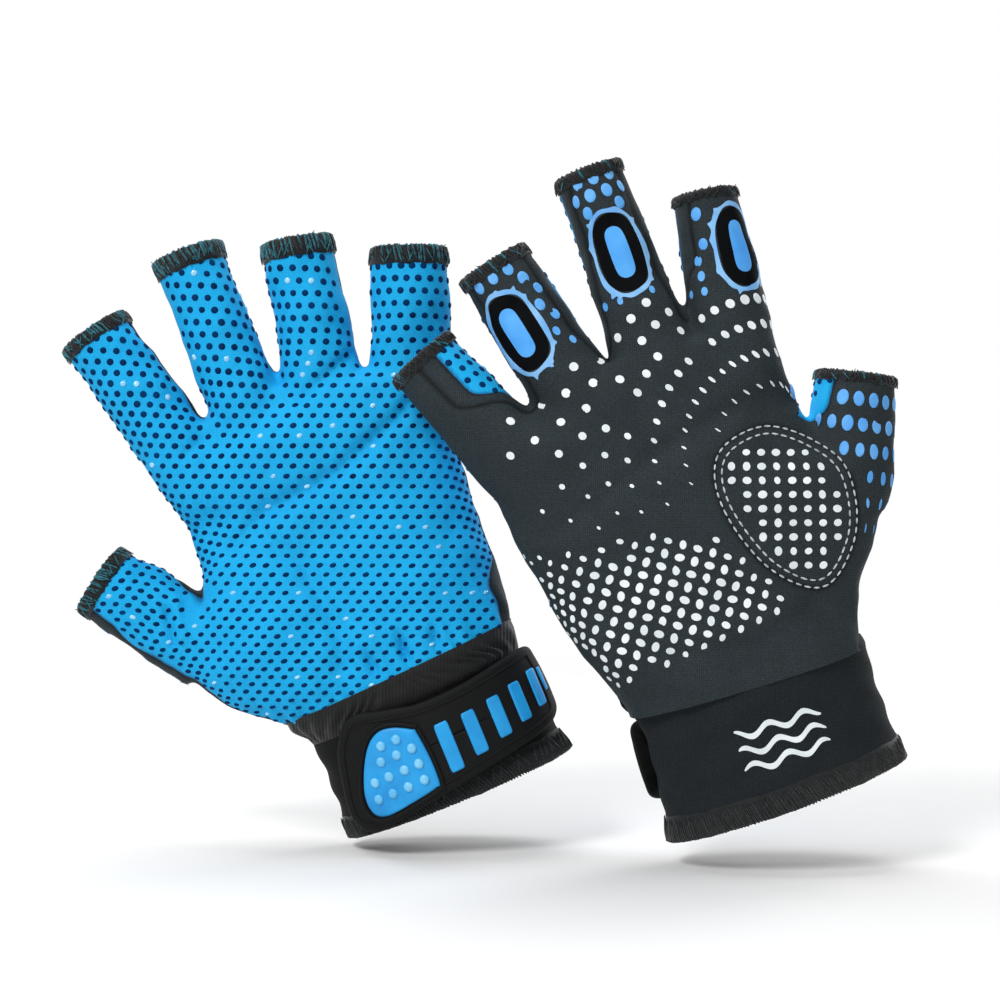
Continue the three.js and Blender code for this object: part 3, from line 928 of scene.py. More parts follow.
def flat_cut(glove, panel, rows, tris):
    """Width and length of a panel's flat cut, and its area, from the fabric coordinates."""
    grid = np.column_stack(fabric(glove, rows[:, :3], -1 if "palm" in panel else 1)) * MM
    e1, e2 = grid[tris[:, 1]] - grid[tris[:, 0]], grid[tris[:, 2]] - grid[tris[:, 0]]
    area = float(np.abs(cross2(e1, e2)).sum()) / 2
    wide, tall = (float(extent) for extent in np.ptp(grid, axis=0))
    return (wide, tall), area


def add_panels(glove, panels, look):
    """The cloth panels, darker along their seams, partly as dirt and partly as painted shade."""
    for panel, (name, slot, material, node) in PANELS.items():
        rows, tris = panels.part(panel)
        verts, faces = shell(rows[:, :3], rows[:, 3:FIELDS], tris, PANEL_THICK)
        obj = piece(glove, name, verts, faces, [look[material]], slot, glove.body, [node])
        near = np.abs(rows[:, FIELDS:])
        edges = near[:, [PALM_EDGE, BACK_EDGE]].min(axis=1)
        if panel in ("back", "patch"):
            edges = np.minimum(edges, near[:, PATCH])
        # Weight of the seam colour, strongest on a seam and gone a couple of millimetres off it:
        # partly dirt, partly painted shade.
        seam = 0.85 * np.exp(-(edges / 0.8) ** 2)
        layer = obj.data.attributes.new("seam", "FLOAT", "POINT")
        layer.data.foreach_set("value", np.concatenate([seam, seam]).astype(np.float32))
        flat, area = flat_cut(glove, panel, rows, tris)


# --- Laying things on the skin ----------------------------------------------------------------

FINGER_REACH = 40  # longer than any finger is wide


class Surface:
    """Finds points of a glove's skin by looking at it along a line."""

    def __init__(self, points, faces):
        self.tree = BVHTree.FromPolygons(points.tolist(), faces)

    def round_finger(self, finger, s, angle, lift=0.0):
        """Points at distances along a finger and angles round it, 0 at the middle of its back."""
        out = []
        for step, turn in zip(np.ravel(s), np.ravel(angle)):
            centre = finger.centre(np.array(step))
            t = turn - float(finger.turn_at(step))
            ray = finger.across * math.sin(t) + np.array([0, 1, 0]) * math.cos(t)
            hit = self.tree.ray_cast(Vector(centre), Vector(ray), FINGER_REACH)[0]
            spot = np.array(hit) if hit else centre + ray * float(finger.half_width(step))
            out.append(spot + ray * lift)
        return np.array(out)

    def facing(self, x, z, side, lift=0.0):
        """Points on the palm (side -1) or back (side 1) at places seen square on, and normals."""
        out, normals = [], []
        for px, pz in zip(np.ravel(x), np.ravel(z)):
            hit, normal = self.tree.ray_cast(Vector((px, side * 90, pz)), Vector((0, -side, 0)))[:2]
            if hit is None:
                hit, normal = Vector((px, 0, pz)), Vector((0, side, 0))
            if normal.y * side < 0:
                normal = -normal
            out.append(np.array(hit) + np.array(normal) * lift)
            normals.append(np.array(normal))
        return np.array(out), np.array(normals)


def thread(path, radius, sides=5):
    """A thin closed tube along a path of points."""
    path = np.asarray(path, float)
    ahead = unit(np.gradient(path, axis=0))
    guide = np.array([0.31, 0.92, 0.23])  # a direction that no thread follows
    first = unit(np.cross(ahead, guide))
    second = np.cross(ahead, first)
    verts = []
    for k, point in enumerate(path):
        r = radius * (0.55 if k in (0, len(path) - 1) else 1.0)
        for t in np.linspace(0, 2 * math.pi, sides, endpoint=False):
            verts.append(point + r * (first[k] * math.cos(t) + second[k] * math.sin(t)))
    return np.array(verts), capped(len(path), sides)


# --- Prints on the back -----------------------------------------------------------------------

SLOTS = {
    "a": {"index": (19.5, 2), "middle": (25, 0), "ring": (21, 4)},
    "b": {"index": (18.0, -4), "middle": (25, 1), "ring": (21.5, 22)},
}
FINGER_RADIUS = 11.5  # a usual one, for turning distances across a finger into angles
SLOT_STRAIGHT, SLOT_RADIUS = 5.2, 3.3
RING_WIDTH, HALO_WIDTH = 4.4, 1.75
ARC_CENTRE, ARC_START = (-28.6, 106.5), math.radians(112)
ARC_RADII = [11.0, 20.6, 30.4, 39.6, 47.9, 54.8, 61.8, 69, 76.5, 84, 92, 100]
ARC_STEPS = [4.2, 4.0, 3.4, 4.0, 4.8, 5.4, 5.8, 6.3, 6.8, 7.2, 7.4, 7.6]
ARC_WIDTHS = [0, 0.36, 0.6, 1.0, 1.26, 1.4, 1.46, 1.46, 1.42, 1.34, 1.2, 1.1]
BELOW_SLOT, PLAIN_END = 16.5, 4.0  # where the arcs of dots stop on a finger
HEEL_START, HEEL_A, HEEL_B = (26.3, 78.5), (-4.0, -2.5), (2.15, -3.45)
HEEL_OUTLINE = [
    (66, 99), (52, 95.5), (7, 92.5), (-2, 87), (-12, 70), (-19, 58), (12, 53.5), (44, 49), (60, 52),
]
PATCH_START, PATCH_A, PATCH_B = (-26, 88), (-4.5, -1.37), (1.27, -4.16)


def lattice(x, z, start, a, b):
    """Coordinates of points in a lattice of two steps from a start."""
    area = a[0] * b[1] - a[1] * b[0]
    dx, dz = x - start[0], z - start[1]
    return np.column_stack([(dx * b[1] - dz * b[0]) / area, (a[0] * dz - a[1] * dx) / area])


def turned(tangent, normals, degrees):
    """A direction on the surface, turned about its normal."""
    along = unit(tangent)
    across = np.cross(normals, along)
    t = np.radians(degrees)
    return along * np.cos(t)[:, None] + across * np.sin(t)[:, None]


def flat_direction(normals, x, z):
    """The direction on the surface that looks like (x, z) seen square on."""
    want = np.tile([x, 0.0, z], (len(normals), 1))
    return unit(want - normals * np.sum(want * normals, axis=1, keepdims=True))


def knuckle_dots(glove, panels):
    """White ovals in arcs about a centre near the thumb's patch, thinning to slivers inward."""
    rows, tris = panels.part("back", "thumb_back")
    u, v = fabric(glove, rows[:, :3], 1)
    du, dv = u - ARC_CENTRE[0], v - ARC_CENTRE[1]
    far = np.hypot(du, dv)
    turn = ARC_START - np.arctan2(dv, du)
    turn = np.where(turn > math.pi, np.nan, turn)
    run = far * (turn - 0.11 * turn ** 2) / np.interp(far, ARC_RADII, ARC_STEPS)
    ring = np.interp(far, ARC_RADII, np.arange(len(ARC_RADII)))
    grid = np.column_stack([np.nan_to_num(run, nan=2 * OFF_GRID), ring])
    cell, spot, normal, _, fields = spots_on(rows, tris, grid)
    chosen, local = glove.nearest_finger(spot)
    ends = [SLOTS[glove.letter][n][0] - BELOW_SLOT if n in SLOTS[glove.letter] else PLAIN_END
            for n in glove.fingers]
    limit = np.where(chosen < 0, np.inf, np.array(ends)[chosen])
    number = np.clip(cell[:, 1].astype(int), 0, len(ARC_RADII) - 1)
    fade = smoothstep(spot[:, 2] + RANDOM.uniform(-1.5, 1.5, len(spot)), 96, 140)
    near = 1 - smoothstep(cell[:, 0], 1, 6)
    keep = (number > 0) & (fade > 0.015) & (local[:, 0] < limit)
    keep &= (fields[:, BACK_EDGE] > 1.0) & (fields[:, THUMB] < -2) & (fields[:, PATCH] < -3)
    keep &= spot[:, 0] < 54
    keep &= (RANDOM.random(len(spot)) < 0.97) & apart(spot, 2.6)
    wide = np.array(ARC_WIDTHS)[number] * (0.3 + 0.7 * fade) * (1 + 0.35 * near)
    long = np.maximum(wide, 1.5 * (0.45 + 0.55 * fade)) * (1 + 0.14 * near)
    spot, normal, wide, long = spot[keep], normal[keep], wide[keep], long[keep]
    along = flat_direction(normal, -0.6, -0.8)
    return stamp(spot, normal, along, long, wide, PRINT, 14)


def heel_dots(glove, panels):
    """The dense halftone near the wrist: ovals that lie and stand in turn."""
    rows, tris = panels.part("back")
    u, v = fabric(glove, rows[:, :3], 1)
    cell, spot, normal, tangent, fields = spots_on(
        rows, tris, lattice(u, v, HEEL_START, HEEL_A, HEEL_B))
    flat_u = HEEL_START[0] + cell @ np.array([HEEL_A[0], HEEL_B[0]])
    flat_v = HEEL_START[1] + cell @ np.array([HEEL_A[1], HEEL_B[1]])
    deep = inside_distance(flat_u, flat_v, np.array(HEEL_OUTLINE, float))
    keep = (deep > 0) & (fields[:, BACK_EDGE] > 1.2) & (fields[:, PATCH] < -2.5)
    keep &= spot[:, 1] > -1
    keep &= (deep > 4) | (RANDOM.random(len(deep)) < 0.8)
    cell, spot, normal, tangent, deep = (k[keep] for k in (cell, spot, normal, tangent, deep))
    size = 0.72 + 0.28 * smoothstep(deep, 0, 9)
    size *= 1 - 0.25 * smoothstep(flat_u[keep], 36, 60)
    upright = (cell.sum(axis=1) % 2 == 0)
    angle = np.where(upright, 90, 0) + RANDOM.uniform(-14, 14, len(spot))
    return stamp(spot, normal, turned(tangent, normal, angle), 1.62 * size, 1.2 * size, PRINT, 14)


def patch_dots(panels):
    """The regular dots on the thumb patch."""
    rows, tris = panels.part("patch")
    x, z = rows[:, 0], rows[:, 2]
    _, spot, normal, tangent, fields = spots_on(
        rows, tris, lattice(x, z, PATCH_START, PATCH_A, PATCH_B))
    keep = fields[:, PATCH] > 5.0
    spot, normal, tangent = spot[keep], normal[keep], tangent[keep]
    angle = RANDOM.choice([0, 90, 20], len(spot)) + RANDOM.uniform(-12, 12, len(spot))
    size = RANDOM.uniform(0.86, 1.05, len(spot))
    return stamp(spot, normal, turned(tangent, normal, angle), 1.42 * size, 1.18 * size, PRINT, 14)


def slot_distance(s, arc, centre):
    """How far a point of a finger lies outside the round-ended slot."""
    past = np.maximum(np.abs(s - centre[0]) - SLOT_STRAIGHT, 0)
    return np.hypot(past, arc - centre[1]) - SLOT_RADIUS


OVAL_PITCH, THUMB_PITCH = (5.7, 4.9), (5.2, 8.0)  # round and along a finger


def finger_ovals(glove, panels):
    """Blue ovals round the slots and over the thumb, shrinking toward the hand."""
    out = []
    rows, tris = panels.part("back", "thumb_back")
    chosen = glove.nearest_finger(rows[:, :3])[0]
    for k, (name, finger) in enumerate(glove.fingers.items()):
        if name == "little":
            continue
        s, a, b = finger.local(rows[:, :3])
        arc = finger.arc(s, a, b)
        if name == "thumb":
            grid = np.column_stack([(arc + 1.0) / THUMB_PITCH[0], (s - 3.5) / THUMB_PITCH[1]])
            mine = (s > -26) & (rows[:, 0] < finger.root[0] + 16 + 0.35 * np.minimum(s, 0))
        else:
            step = (s - 0.8) / OVAL_PITCH[1]
            shift = 1.5 if name == "ring" else 0
            grid = np.column_stack([(arc - shift) / OVAL_PITCH[0] - 0.5 * step, step])
            mine = (chosen == k) & (s > -3)
        ours = tris[mine[tris].all(axis=1)]
        _, spot, normal, _, fields = spots_on(rows, ours, grid)
        s, a, b = finger.local(spot)
        arc = finger.arc(s, a, b)
        bare = 5.0 if glove.letter == "a" and name == "thumb" else 1.0
        end = -5.0 if glove.letter == "a" else -3.0
        keep = apart(spot, 3.9) & (fields[:, PAST] < end)
        keep &= (fields[:, BACK_EDGE] > bare) & (fields[:, PATCH] < -2.2)
        if name == "thumb":
            keep &= spot[:, 2] > 66
            share = smoothstep(s, -30, 12)
            along, wide = 1.5 + 1.0 * share, 0.25 + 1.5 * share ** 1.4
        else:
            middle, degrees = SLOTS[glove.letter][name]
            centre = (middle, math.radians(degrees) * FINGER_RADIUS)
            away = slot_distance(s, arc, centre)
            keep &= (away > RING_WIDTH + HALO_WIDTH + 1.0) & (s > middle - 15)
            share = smoothstep(s, -4, finger.length - 10)
            along, wide = 1.15 + 1.05 * share, 0.85 + 0.9 * share
        direction = np.tile(finger.along, (len(spot), 1))
        spot, normal, direction = spot[keep], normal[keep], direction[keep]
        size = RANDOM.uniform(0.9, 1.06, len(spot))
        out.append(stamp(spot, normal, direction, along[keep] * size, wide[keep] * size, PRINT, 16))
    return joined(out)


def slot_outline(turn, off):
    """Along and across a finger, the outline of the slot grown by some millimetres."""
    radius = SLOT_RADIUS + off
    return radius * np.cos(turn) + SLOT_STRAIGHT * np.tanh(4 * np.cos(turn)), radius * np.sin(turn)


def finger_slots(glove, surface):
    """The printed slot on each of three fingers: blue slot, black ring and a ragged blue halo."""
    slots, rings, halos = [], [], []
    for name, (middle, degrees) in SLOTS[glove.letter].items():
        finger = glove.fingers[name]
        rng = np.random.default_rng(len(name) + ord(glove.letter))

        def laid(along, across, lift):
            s = np.minimum(middle + along, finger.length - 2)
            twist = finger.turn_at(s) - finger.turn_at(middle)
            angle = math.radians(degrees) + across / FINGER_RADIUS + twist
            return surface.round_finger(finger, s, angle, lift)

        turn = np.linspace(0, 2 * math.pi, 56, endpoint=False)
        rows = [laid(*slot_outline(turn, -3.2 * t), lift)
                for t, lift in ((0, -0.06), (0.03, 0.1), (0.1, 0.12), (0.6, 0.12), (0.99, 0.12))]
        slots.append((np.vstack(rows), ring_faces(5, 56) + fold(range(4 * 56, 5 * 56))))
        rows = [laid(*slot_outline(turn, off), lift)
                for off, lift in ((0.05, -0.06), (0.12, 0.09), (0.3, 0.11), (2.2, 0.12),
                                  (4.05, 0.11), (4.22, 0.09), (4.3, -0.06))]
        rings.append((np.vstack(rows), ring_faces(7, 56)))
        turn = np.linspace(0, 2 * math.pi, 120, endpoint=False)
        ragged = 0.16 * np.sin(turn * 7 + rng.uniform(0, 6)) + 0.12 * np.sin(turn * 11)
        spikes = sum(rng.uniform(0.5, 1.5) * np.exp(-((turn - at) / 0.055) ** 2)
                     for at in rng.uniform(0.1, 6.2, 9))
        inner = RING_WIDTH + 0.15 + 0.25 * np.sin(turn * 5)
        outer = RING_WIDTH + HALO_WIDTH + ragged + spikes
        rows = [laid(*slot_outline(turn, off), lift)
                for off, lift in ((inner, -0.08), (inner + 0.1, 0.15), ((inner + outer) / 2, 0.16),
                                  (outer - 0.1, 0.15), (outer, -0.08))]
        halos.append((np.vstack(rows), ring_faces(5, 120)))
    return joined(slots), joined(rings), joined(halos)


# --- Stitching --------------------------------------------------------------------------------

def stitches(points, normals, dash, gap, radius):
    """A line of short stitches laid along points of the surface."""
    steps = np.linalg.norm(np.diff(points, axis=0), axis=1)
    walked = np.concatenate([[0], np.cumsum(steps)])
    count = max(2, int(walked[-1] / (dash + gap)))
    at = (np.arange(count) + 0.5) * walked[-1] / count
    spot = np.column_stack([np.interp(at, walked, points[:, k]) for k in range(3)])
    ahead = np.column_stack([np.interp(at + 0.4, walked, points[:, k]) for k in range(3)]) - spot
    normal = unit(np.column_stack([np.interp(at, walked, normals[:, k]) for k in range(3)]))
    half = np.full(count, dash / 2) * RANDOM.uniform(0.85, 1.08, count)
    wide = np.full(count, radius)
    return stamp(spot + normal * 0.1, normal, ahead, half, wide, STITCH, 10)


def add_stitching(glove, surface, look):
    """Two rows of white topstitching round the thumb patch."""
    outline = closed_curve(PATCH_OUTLINES[glove.letter])
    centre = outline.mean(axis=0)
    away = outline - centre
    length = np.linalg.norm(away, axis=1, keepdims=True)
    lines = []
    for inset in (0.3, 2.7):
        line = centre + away * (length - inset) / length
        line = np.vstack([line, line[:1]])
        points, normals = surface.facing(line[:, 0], line[:, 1], 1)
        lines.append(stitches(points, normals, 2.2, 0.7, 0.3))
    piece(glove, "patch_topstitch", *joined(lines), [look["pale_thread"]], "patch_fabric", glove.body)


def wave_mark():
    """Three plain wavy lines on the back of the cuff."""
    lines = []
    for row in range(3):
        x = np.linspace(-14, 14, 60)
        z = 26.5 - 5.2 * row + 1.3 * np.sin(x * 0.55 + 0.9 * row)
        half = 0.95 * np.sqrt(np.clip(1 - (x / 14.2) ** 6, 0.02, 1))
        angle = np.arccos(np.clip((x - 2) / CUFF_HALF[0], -1, 1))
        rows = [cuff_at(angle, z + half * side, lift)
                for side, lift in ((-1, 0.15), (-0.92, 0.36), (0, 0.38), (0.92, 0.36), (1, 0.15))]
        lines.append((np.vstack(rows), ring_faces(5, 60, closed=False)))
    return joined(lines)


def add_prints(glove, panels, surface, look):
    """Everything printed on the back of the glove and on its cuff."""
    white = joined([knuckle_dots(glove, panels), heel_dots(glove, panels)])
    patch = patch_dots(panels)
    ovals = finger_ovals(glove, panels)
    slots, rings, halos = finger_slots(glove, surface)
    for name, mesh, ink, slot in (
        ("white_print", white, "white_ink", "back_fabric"),
        ("patch_print", patch, "white_ink", "patch_fabric"),
        ("blue_print", ovals, "blue_ink", "back_fabric"),
        ("finger_slots", slots, "slot_ink", "back_fabric"),
        ("finger_rings", rings, "black_ink", "back_fabric"),
        ("finger_halos", halos, "pale_ink", "back_fabric"),
        ("wave_print", wave_mark(), "white_ink", "cuff_fabric"),
    ):
        piece(glove, name, *mesh, [look[ink]], slot, glove.body)


# --- Overlocked hems --------------------------------------------------------------------------

# For each glove, the height of its finger hems as a share, and the share of teal threads.
HEM_LOOKS = {"a": (1.0, 0.55), "b": (0.66, 0.12)}
HEM_HEIGHTS = {"index": 4.6, "middle": 6.2, "ring": 6.4, "little": 6.0, "thumb": 5.0}


def hem_band(surface_at, edge, height, lift, thick=1.6, around=64):
    """The folded edge under the threads: a closed ring with a rounded free edge."""
    angles = np.linspace(0, 2 * math.pi, around, endpoint=False)
    profile = [
        (-height, -0.2), (-height + 0.25, lift * 0.8), (-height * 0.6, lift), (-0.8, lift),
        (-0.1, lift * 0.5), (0.1, -thick * 0.4), (-0.2, -thick), (-height, -thick),
    ]
    wobble = 0.22 * np.sin(angles * 9 + 1.0) + 0.16 * np.sin(angles * 23 + 2.0)
    ripple = 0.12 * np.sin(angles * 31)
    rings = [surface_at(angles, edge + s + wobble, out + ripple) for s, out in profile]
    count = len(profile) * around
    faces = ring_faces(len(profile) + 1, around)
    return np.vstack(rings), [tuple(i % count for i in f) for f in faces]


def overlock(surface_at, edge, height, lift, length, teal_share, rough, slant, rng):
    """Threads that wrap a cut edge: loops over it, slanted strokes down it and a few loose ends."""
    black, teal = [], []
    count = int(length / 0.95)
    for k in range(count):
        angle = 2 * math.pi * (k + rough * rng.uniform(-0.3, 0.3)) / count
        lean = (slant + rough * rng.uniform(-0.7, 0.8)) * 2 * math.pi / length
        reach = height * (0.92 + rough * rng.uniform(-0.2, 0.16))
        top = rough * rng.uniform(-0.15, 0.3)
        s = np.array([-reach, -reach * 0.66, -reach * 0.33, -0.4, top, top - 0.5, -1.8])
        out = np.array([0.0, lift + 0.12, lift + 0.18, lift + 0.1, -0.3, -1.5, -2.0])
        turn = angle + lean * np.array([0, 0.3, 0.55, 0.8, 1.0, 1.05, 1.1])
        path = surface_at(turn, edge + s, out + rng.uniform(-0.08, 0.14))
        (teal if rng.random() < teal_share else black).append(thread(path, rng.uniform(0.26, 0.4)))
    for k in range(int(length / 2.4)):
        angle = 2 * math.pi * (k + rng.uniform(-0.2, 0.2)) * 2.4 / length
        slant = rng.choice([-1, 1]) * 2.2 * 2 * math.pi / length
        share = np.linspace(0, 1, 5)
        s = -height * (0.25 + 0.65 * share) + rng.uniform(-0.4, 0.4)
        path = surface_at(angle + slant * share, edge + s, lift + 0.4 + 0 * share)
        (teal if rng.random() < teal_share else black).append(thread(path, 0.22))
    for _ in range(int((rough - 0.3) * length / 18)):
        angle, bend = rng.uniform(0, 6.28), rng.uniform(-0.05, 0.05)
        rise = rng.uniform(0.5, 1.2)
        s = np.array([-1.0, 0.0, rise * 0.6, rise])
        path = surface_at(angle + bend * np.arange(4), edge + s, np.array([0.3, 0.3, 0.5, 0.9]))
        (teal if rng.random() < teal_share else black).append(thread(path, 0.15))
    return black, teal


def add_hem(glove, name, node, slot, surface_at, edge, height, lift, length, threads, look, rng):
    """A hem piece. threads are the share of teal ones, how rough they are and their slant."""
    band = hem_band(surface_at, edge, height, lift)
    black, teal = overlock(surface_at, edge, height, lift, length, *threads, rng)
    dark, bright = joined([band] + black), joined(teal)
    verts, faces = joined([dark, bright])
    index = [0] * len(dark[1]) + [1] * len(bright[1])
    piece(glove, name, verts, faces, [look["black_thread"], look["teal_thread"]], slot,
          glove.body, [node], sharp=70, index=index)


def add_finger_hems(glove, surface, look):
    """The overlocked ends of the five fingers."""
    rng = np.random.default_rng(40 + ord(glove.letter))
    for finger in glove.fingers.values():
        def surface_at(angle, s, lift, finger=finger):
            angle, s, lift = np.broadcast_arrays(angle, s, lift)
            inner = np.minimum(s, finger.length + 3)
            base = surface.round_finger(finger, inner, angle)
            ray = unit(base - np.array([finger.centre(np.array(t)) for t in inner]))
            return base + ray * lift[:, None]
        length = math.pi * (finger.widths[1] + 21) / 2
        share, teal = HEM_LOOKS[glove.letter]
        add_hem(glove, "overlock_" + finger.name, "hem_" + finger.name, "overlock", surface_at,
                finger.length, HEM_HEIGHTS[finger.name] * share, 0.55, length,
                (teal, 1.0, 1.1), look, rng)


# --- Cuff -------------------------------------------------------------------------------------

def cuff_at(angle, z, lift):
    """Points on the cuff: angle 0 at the little-finger side, a quarter turn at the back."""
    angle, z, lift = np.broadcast_arrays(np.asarray(angle, float), z, lift)
    waist = 0.9 * np.exp(-((z - 28) / 10.0) ** 2)
    flare = 1.6 * smoothstep(-z, -12, 2)
    half_x, half_y = CUFF_HALF[0] - waist + flare, CUFF_HALF[1] - waist + flare * 0.4
    c, s = np.cos(angle), np.sin(angle)
    normal = unit(np.column_stack([c / half_x, s / half_y, 0 * c]))
    folds = 0.35 * np.sin(z * 0.52 + 2.2 * np.sin(angle * 2 + 0.5)) * np.sin(angle * 3 + 1.1)
    slope = -0.05 * half_x * c * smoothstep(-z, -40, 0)
    base = np.column_stack([half_x * c, half_y * s, z + slope])
    return base + normal * (lift + folds)[:, None]


CUFF_THICK, ELASTIC_THICK = 1.5, 1.2
CUFF_OVERLAP = 0.003  # in radians, of the two halves


def open_sheet(rows, around, thick):
    """A shell through rows of points that run part of the way round the wrist."""
    verts = np.vstack(rows)
    tris = halved(ring_faces(len(rows), around, closed=False))
    normals = vertex_normals(verts, tris)
    if np.sum(normals[:, :2] * verts[:, :2]) < 0:
        tris, normals = tris[:, ::-1], -normals
    return shell(verts, normals, tris, thick)


def add_cuff(glove, look):
    """The two halves of the cuff and its hem."""
    for name, node, start, end in (
        ("cuff_front_panel", "cuff_palm", math.pi, 2 * math.pi),
        ("cuff_rear_panel", "cuff_back", 0.0, math.pi),
    ):
        around, steps = 90, 26
        angles = np.linspace(start - CUFF_OVERLAP, end + CUFF_OVERLAP, around)
        rows = []
        top = CUFF_TOP + (1.2 if name == "cuff_rear_panel" else -1.2)
        for z in np.linspace(6.5, top, steps):
            rows.append(cuff_at(angles, z, 0.25 - 1.2 * smoothstep(z, top - 2.7, top)))
        verts, faces = open_sheet(rows, around, CUFF_THICK)
        cloth = look["cuff" if glove.letter == "b" else "black"]
        piece(glove, name, verts, faces, [cloth], "cuff_fabric", glove.body, [node])
    rng = np.random.default_rng(60 + ord(glove.letter))
    add_hem(glove, "cuff_overlock", "cuff_hem", "overlock",
            lambda angle, s, lift: cuff_at(angle, -np.asarray(s, float), lift),
            0.0, HEM_HEIGHT, 0.5, 200.0, (0.0, 0.15, 2.6), look, rng)


def add_elastic(glove, surface, look):
    """The gathered strip over the edge of the palm fabric."""
    around, steps, low, high = 280, 12, CUFF_TOP - 7, CUFF_TOP + 3.6
    angles = np.linspace(math.pi * 1.02, math.pi * 1.98, around)
    middle = glove.section(CUFF_TOP + 2)[0]
    rays = np.column_stack([np.cos(angles), np.sin(angles), 0 * angles])
    ends = smoothstep(np.sin(-angles), 0.05, 0.3)
    blur = np.ones(21) / 21
    rows = []
    for z in np.linspace(low, high, steps):
        share = (z - low) / (high - low)
        under = cuff_at(angles, z, 0.3)
        ring = []
        for point, ray in zip(under, rays):
            start = np.array([middle, 0.0, max(z, CUFF_TOP + 2.6)])
            hit = surface.tree.ray_cast(Vector(start), Vector(ray), 80)[0]
            skin = np.array([hit.x, hit.y, z]) if hit else point
            ring.append(point + (skin - point) * smoothstep(z, CUFF_TOP - 5, CUFF_TOP + 1.5))
        ring = np.column_stack([np.convolve(np.pad(k, 10, mode="edge"), blur, mode="valid")
                                for k in np.array(ring).T])
        gather = 0.34 * np.sin(angles * 41 + 1.6 * np.sin(angles * 9)) * math.sin(math.pi * share)
        bulge = (0.5 + 0.75 * ends) * math.sin(math.pi * share * 0.88) ** 0.4
        rows.append(ring + rays * (bulge + gather * ends + 0.1)[:, None])
    verts, faces = open_sheet(rows, around, ELASTIC_THICK)
    piece(glove, "gathered_band", verts, faces, [look["elastic"]], "elastic", glove.body,
          ["wrist_elastic"])


# --- Strap ------------------------------------------------------------------------------------

STRAP_OUTLINE = [
    (-22, 39.5), (-9, 37), (2, 34.6), (18, 34.2), (34, 35.5), (42.5, 35.5), (44.2, 30),
    (44.4, 18), (43, 11.5), (36, 8.6), (19, 6.8), (1, 5), (-17, 3), (-29, 2), (-34.5, 4.5),
    (-36.2, 11), (-34, 21), (-30, 32),
]
TAB_OUTLINE = [
    (-2.5, 26.9), (-3.4, 28), (-9, 31), (-14.5, 31.6), (-19.5, 28.6), (-24.5, 21.5), (-27.8, 13.5),
    (-27, 7.6), (-22, 5.6), (-11, 6.6), (-4.2, 7.8), (-2.6, 8.6), (-1.9, 17),
]
BARS = [
    (5.4, 18.0, 5.0, 16.5), (15.0, 18.6, 4.8, 14.5), (24.4, 19.6, 4.5, 13.5),
    (32.6, 20.8, 3.9, 13.0), (39.4, 22.2, 2.8, 12.5), (42.3, 23.6, 1.0, 8.0),
]
NUB_ROWS = [(27.2, (-9.5, -15)), (22.6, (-6, -11.5, -17.2)), (17.2, (-6, -11.2, -16.8, -22)),
            (11.8, (-6.5, -12.4, -18, -23.2))]
BAR_CORNERS = 0.22     # 1 is round, 0 is square
STRAP_BASE = (CUFF_HALF[0] + 2.9, CUFF_HALF[1] + 2.9)
BEND = (39.5, 30.5)    # two places across the strap, in millimetres; add_strap works out their points but does not use them
PIPING_INSET = 2.9     # from the strap's edge to the thread that runs inside it
PAD_END = 0.985        # how near a pad's rings come to its spine


def on_strap(x, z, lift):
    """Points over the front of the cuff at places seen square on, some way off the strap's back."""
    half_x, half_y = STRAP_BASE
    share = np.clip(np.asarray(x, float) / (half_x + 3.6), -0.999, 0.999)
    angle = np.arccos(share)
    sag = 0.25 * np.sin(np.asarray(x) * 0.16 + 0.7)
    return np.column_stack([
        (half_x + lift) * np.cos(angle), -(half_y + lift + sag) * np.sin(angle), z,
    ])


def pad(outline, height, bevel, base=0.0, crown=0.0, steps=10):
    """A soft-edged slab over an outline on the strap, from its base to its height."""
    outline = np.asarray(outline, float)
    low, high = outline.min(0), outline.max(0)
    half = (high - low) / 2
    narrow = min(half)
    outline = np.roll(outline, -int(np.argmin(outline[:, int(half[0] <= half[1])])), axis=0)
    short = int(half[0] > half[1])
    spine = np.clip(outline, low + narrow, high - narrow) if half[0] != half[1] else outline
    spine[:, short] = ((low + high) / 2)[short]
    levels = [(0.0, base), (0.0, base + (height - base) * 0.55)]
    for share in (0.15, 0.45, 1.0):
        rise = 0.55 + 0.45 * math.sin(share * math.pi / 2)
        levels.append((bevel * share / narrow, base + (height - base) * rise))
    first = levels[-1][0]
    for k in range(1, steps + 1):
        t = first + (1 - first) * k / steps
        levels.append((min(t, PAD_END), height + crown * (1 - (1 - t) ** 2)))
    verts = []
    for t, lift in levels:
        ring = outline + (spine - outline) * t
        verts.append(on_strap(ring[:, 0], ring[:, 1], lift))
    verts.append(on_strap(*(outline + (spine - outline) * PAD_END).T, base))
    sides, rings = len(outline), len(levels)
    faces = ring_faces(rings, sides)
    top = rings - 1
    faces += fold(range(top * sides, (top + 1) * sides))
    back = rings * sides
    faces += [(k, back + k, back + (k + 1) % sides, (k + 1) % sides) for k in range(sides)]
    faces += [tuple(reversed(f)) for f in fold(range(back, back + sides))]
    verts = np.vstack(verts)
    return verts, outward(verts, faces)


def fold(ring):
    """Quads across a nearly flat closed ring of points."""
    ring = list(ring)
    count = len(ring)
    out = []
    for k in range(count // 2 - 1):
        out.append((ring[k], ring[k + 1], ring[count - 2 - k], ring[count - 1 - k]))
    return out


def outward(verts, faces):
    """The faces, turned so that the closed mesh has its normals outside."""
    volume = 0.0
    for f in faces:
        for k in range(1, len(f) - 1):
            volume += verts[f[0]] @ np.cross(verts[f[k]], verts[f[k + 1]])
    return faces if volume > 0 else [tuple(reversed(f)) for f in faces]


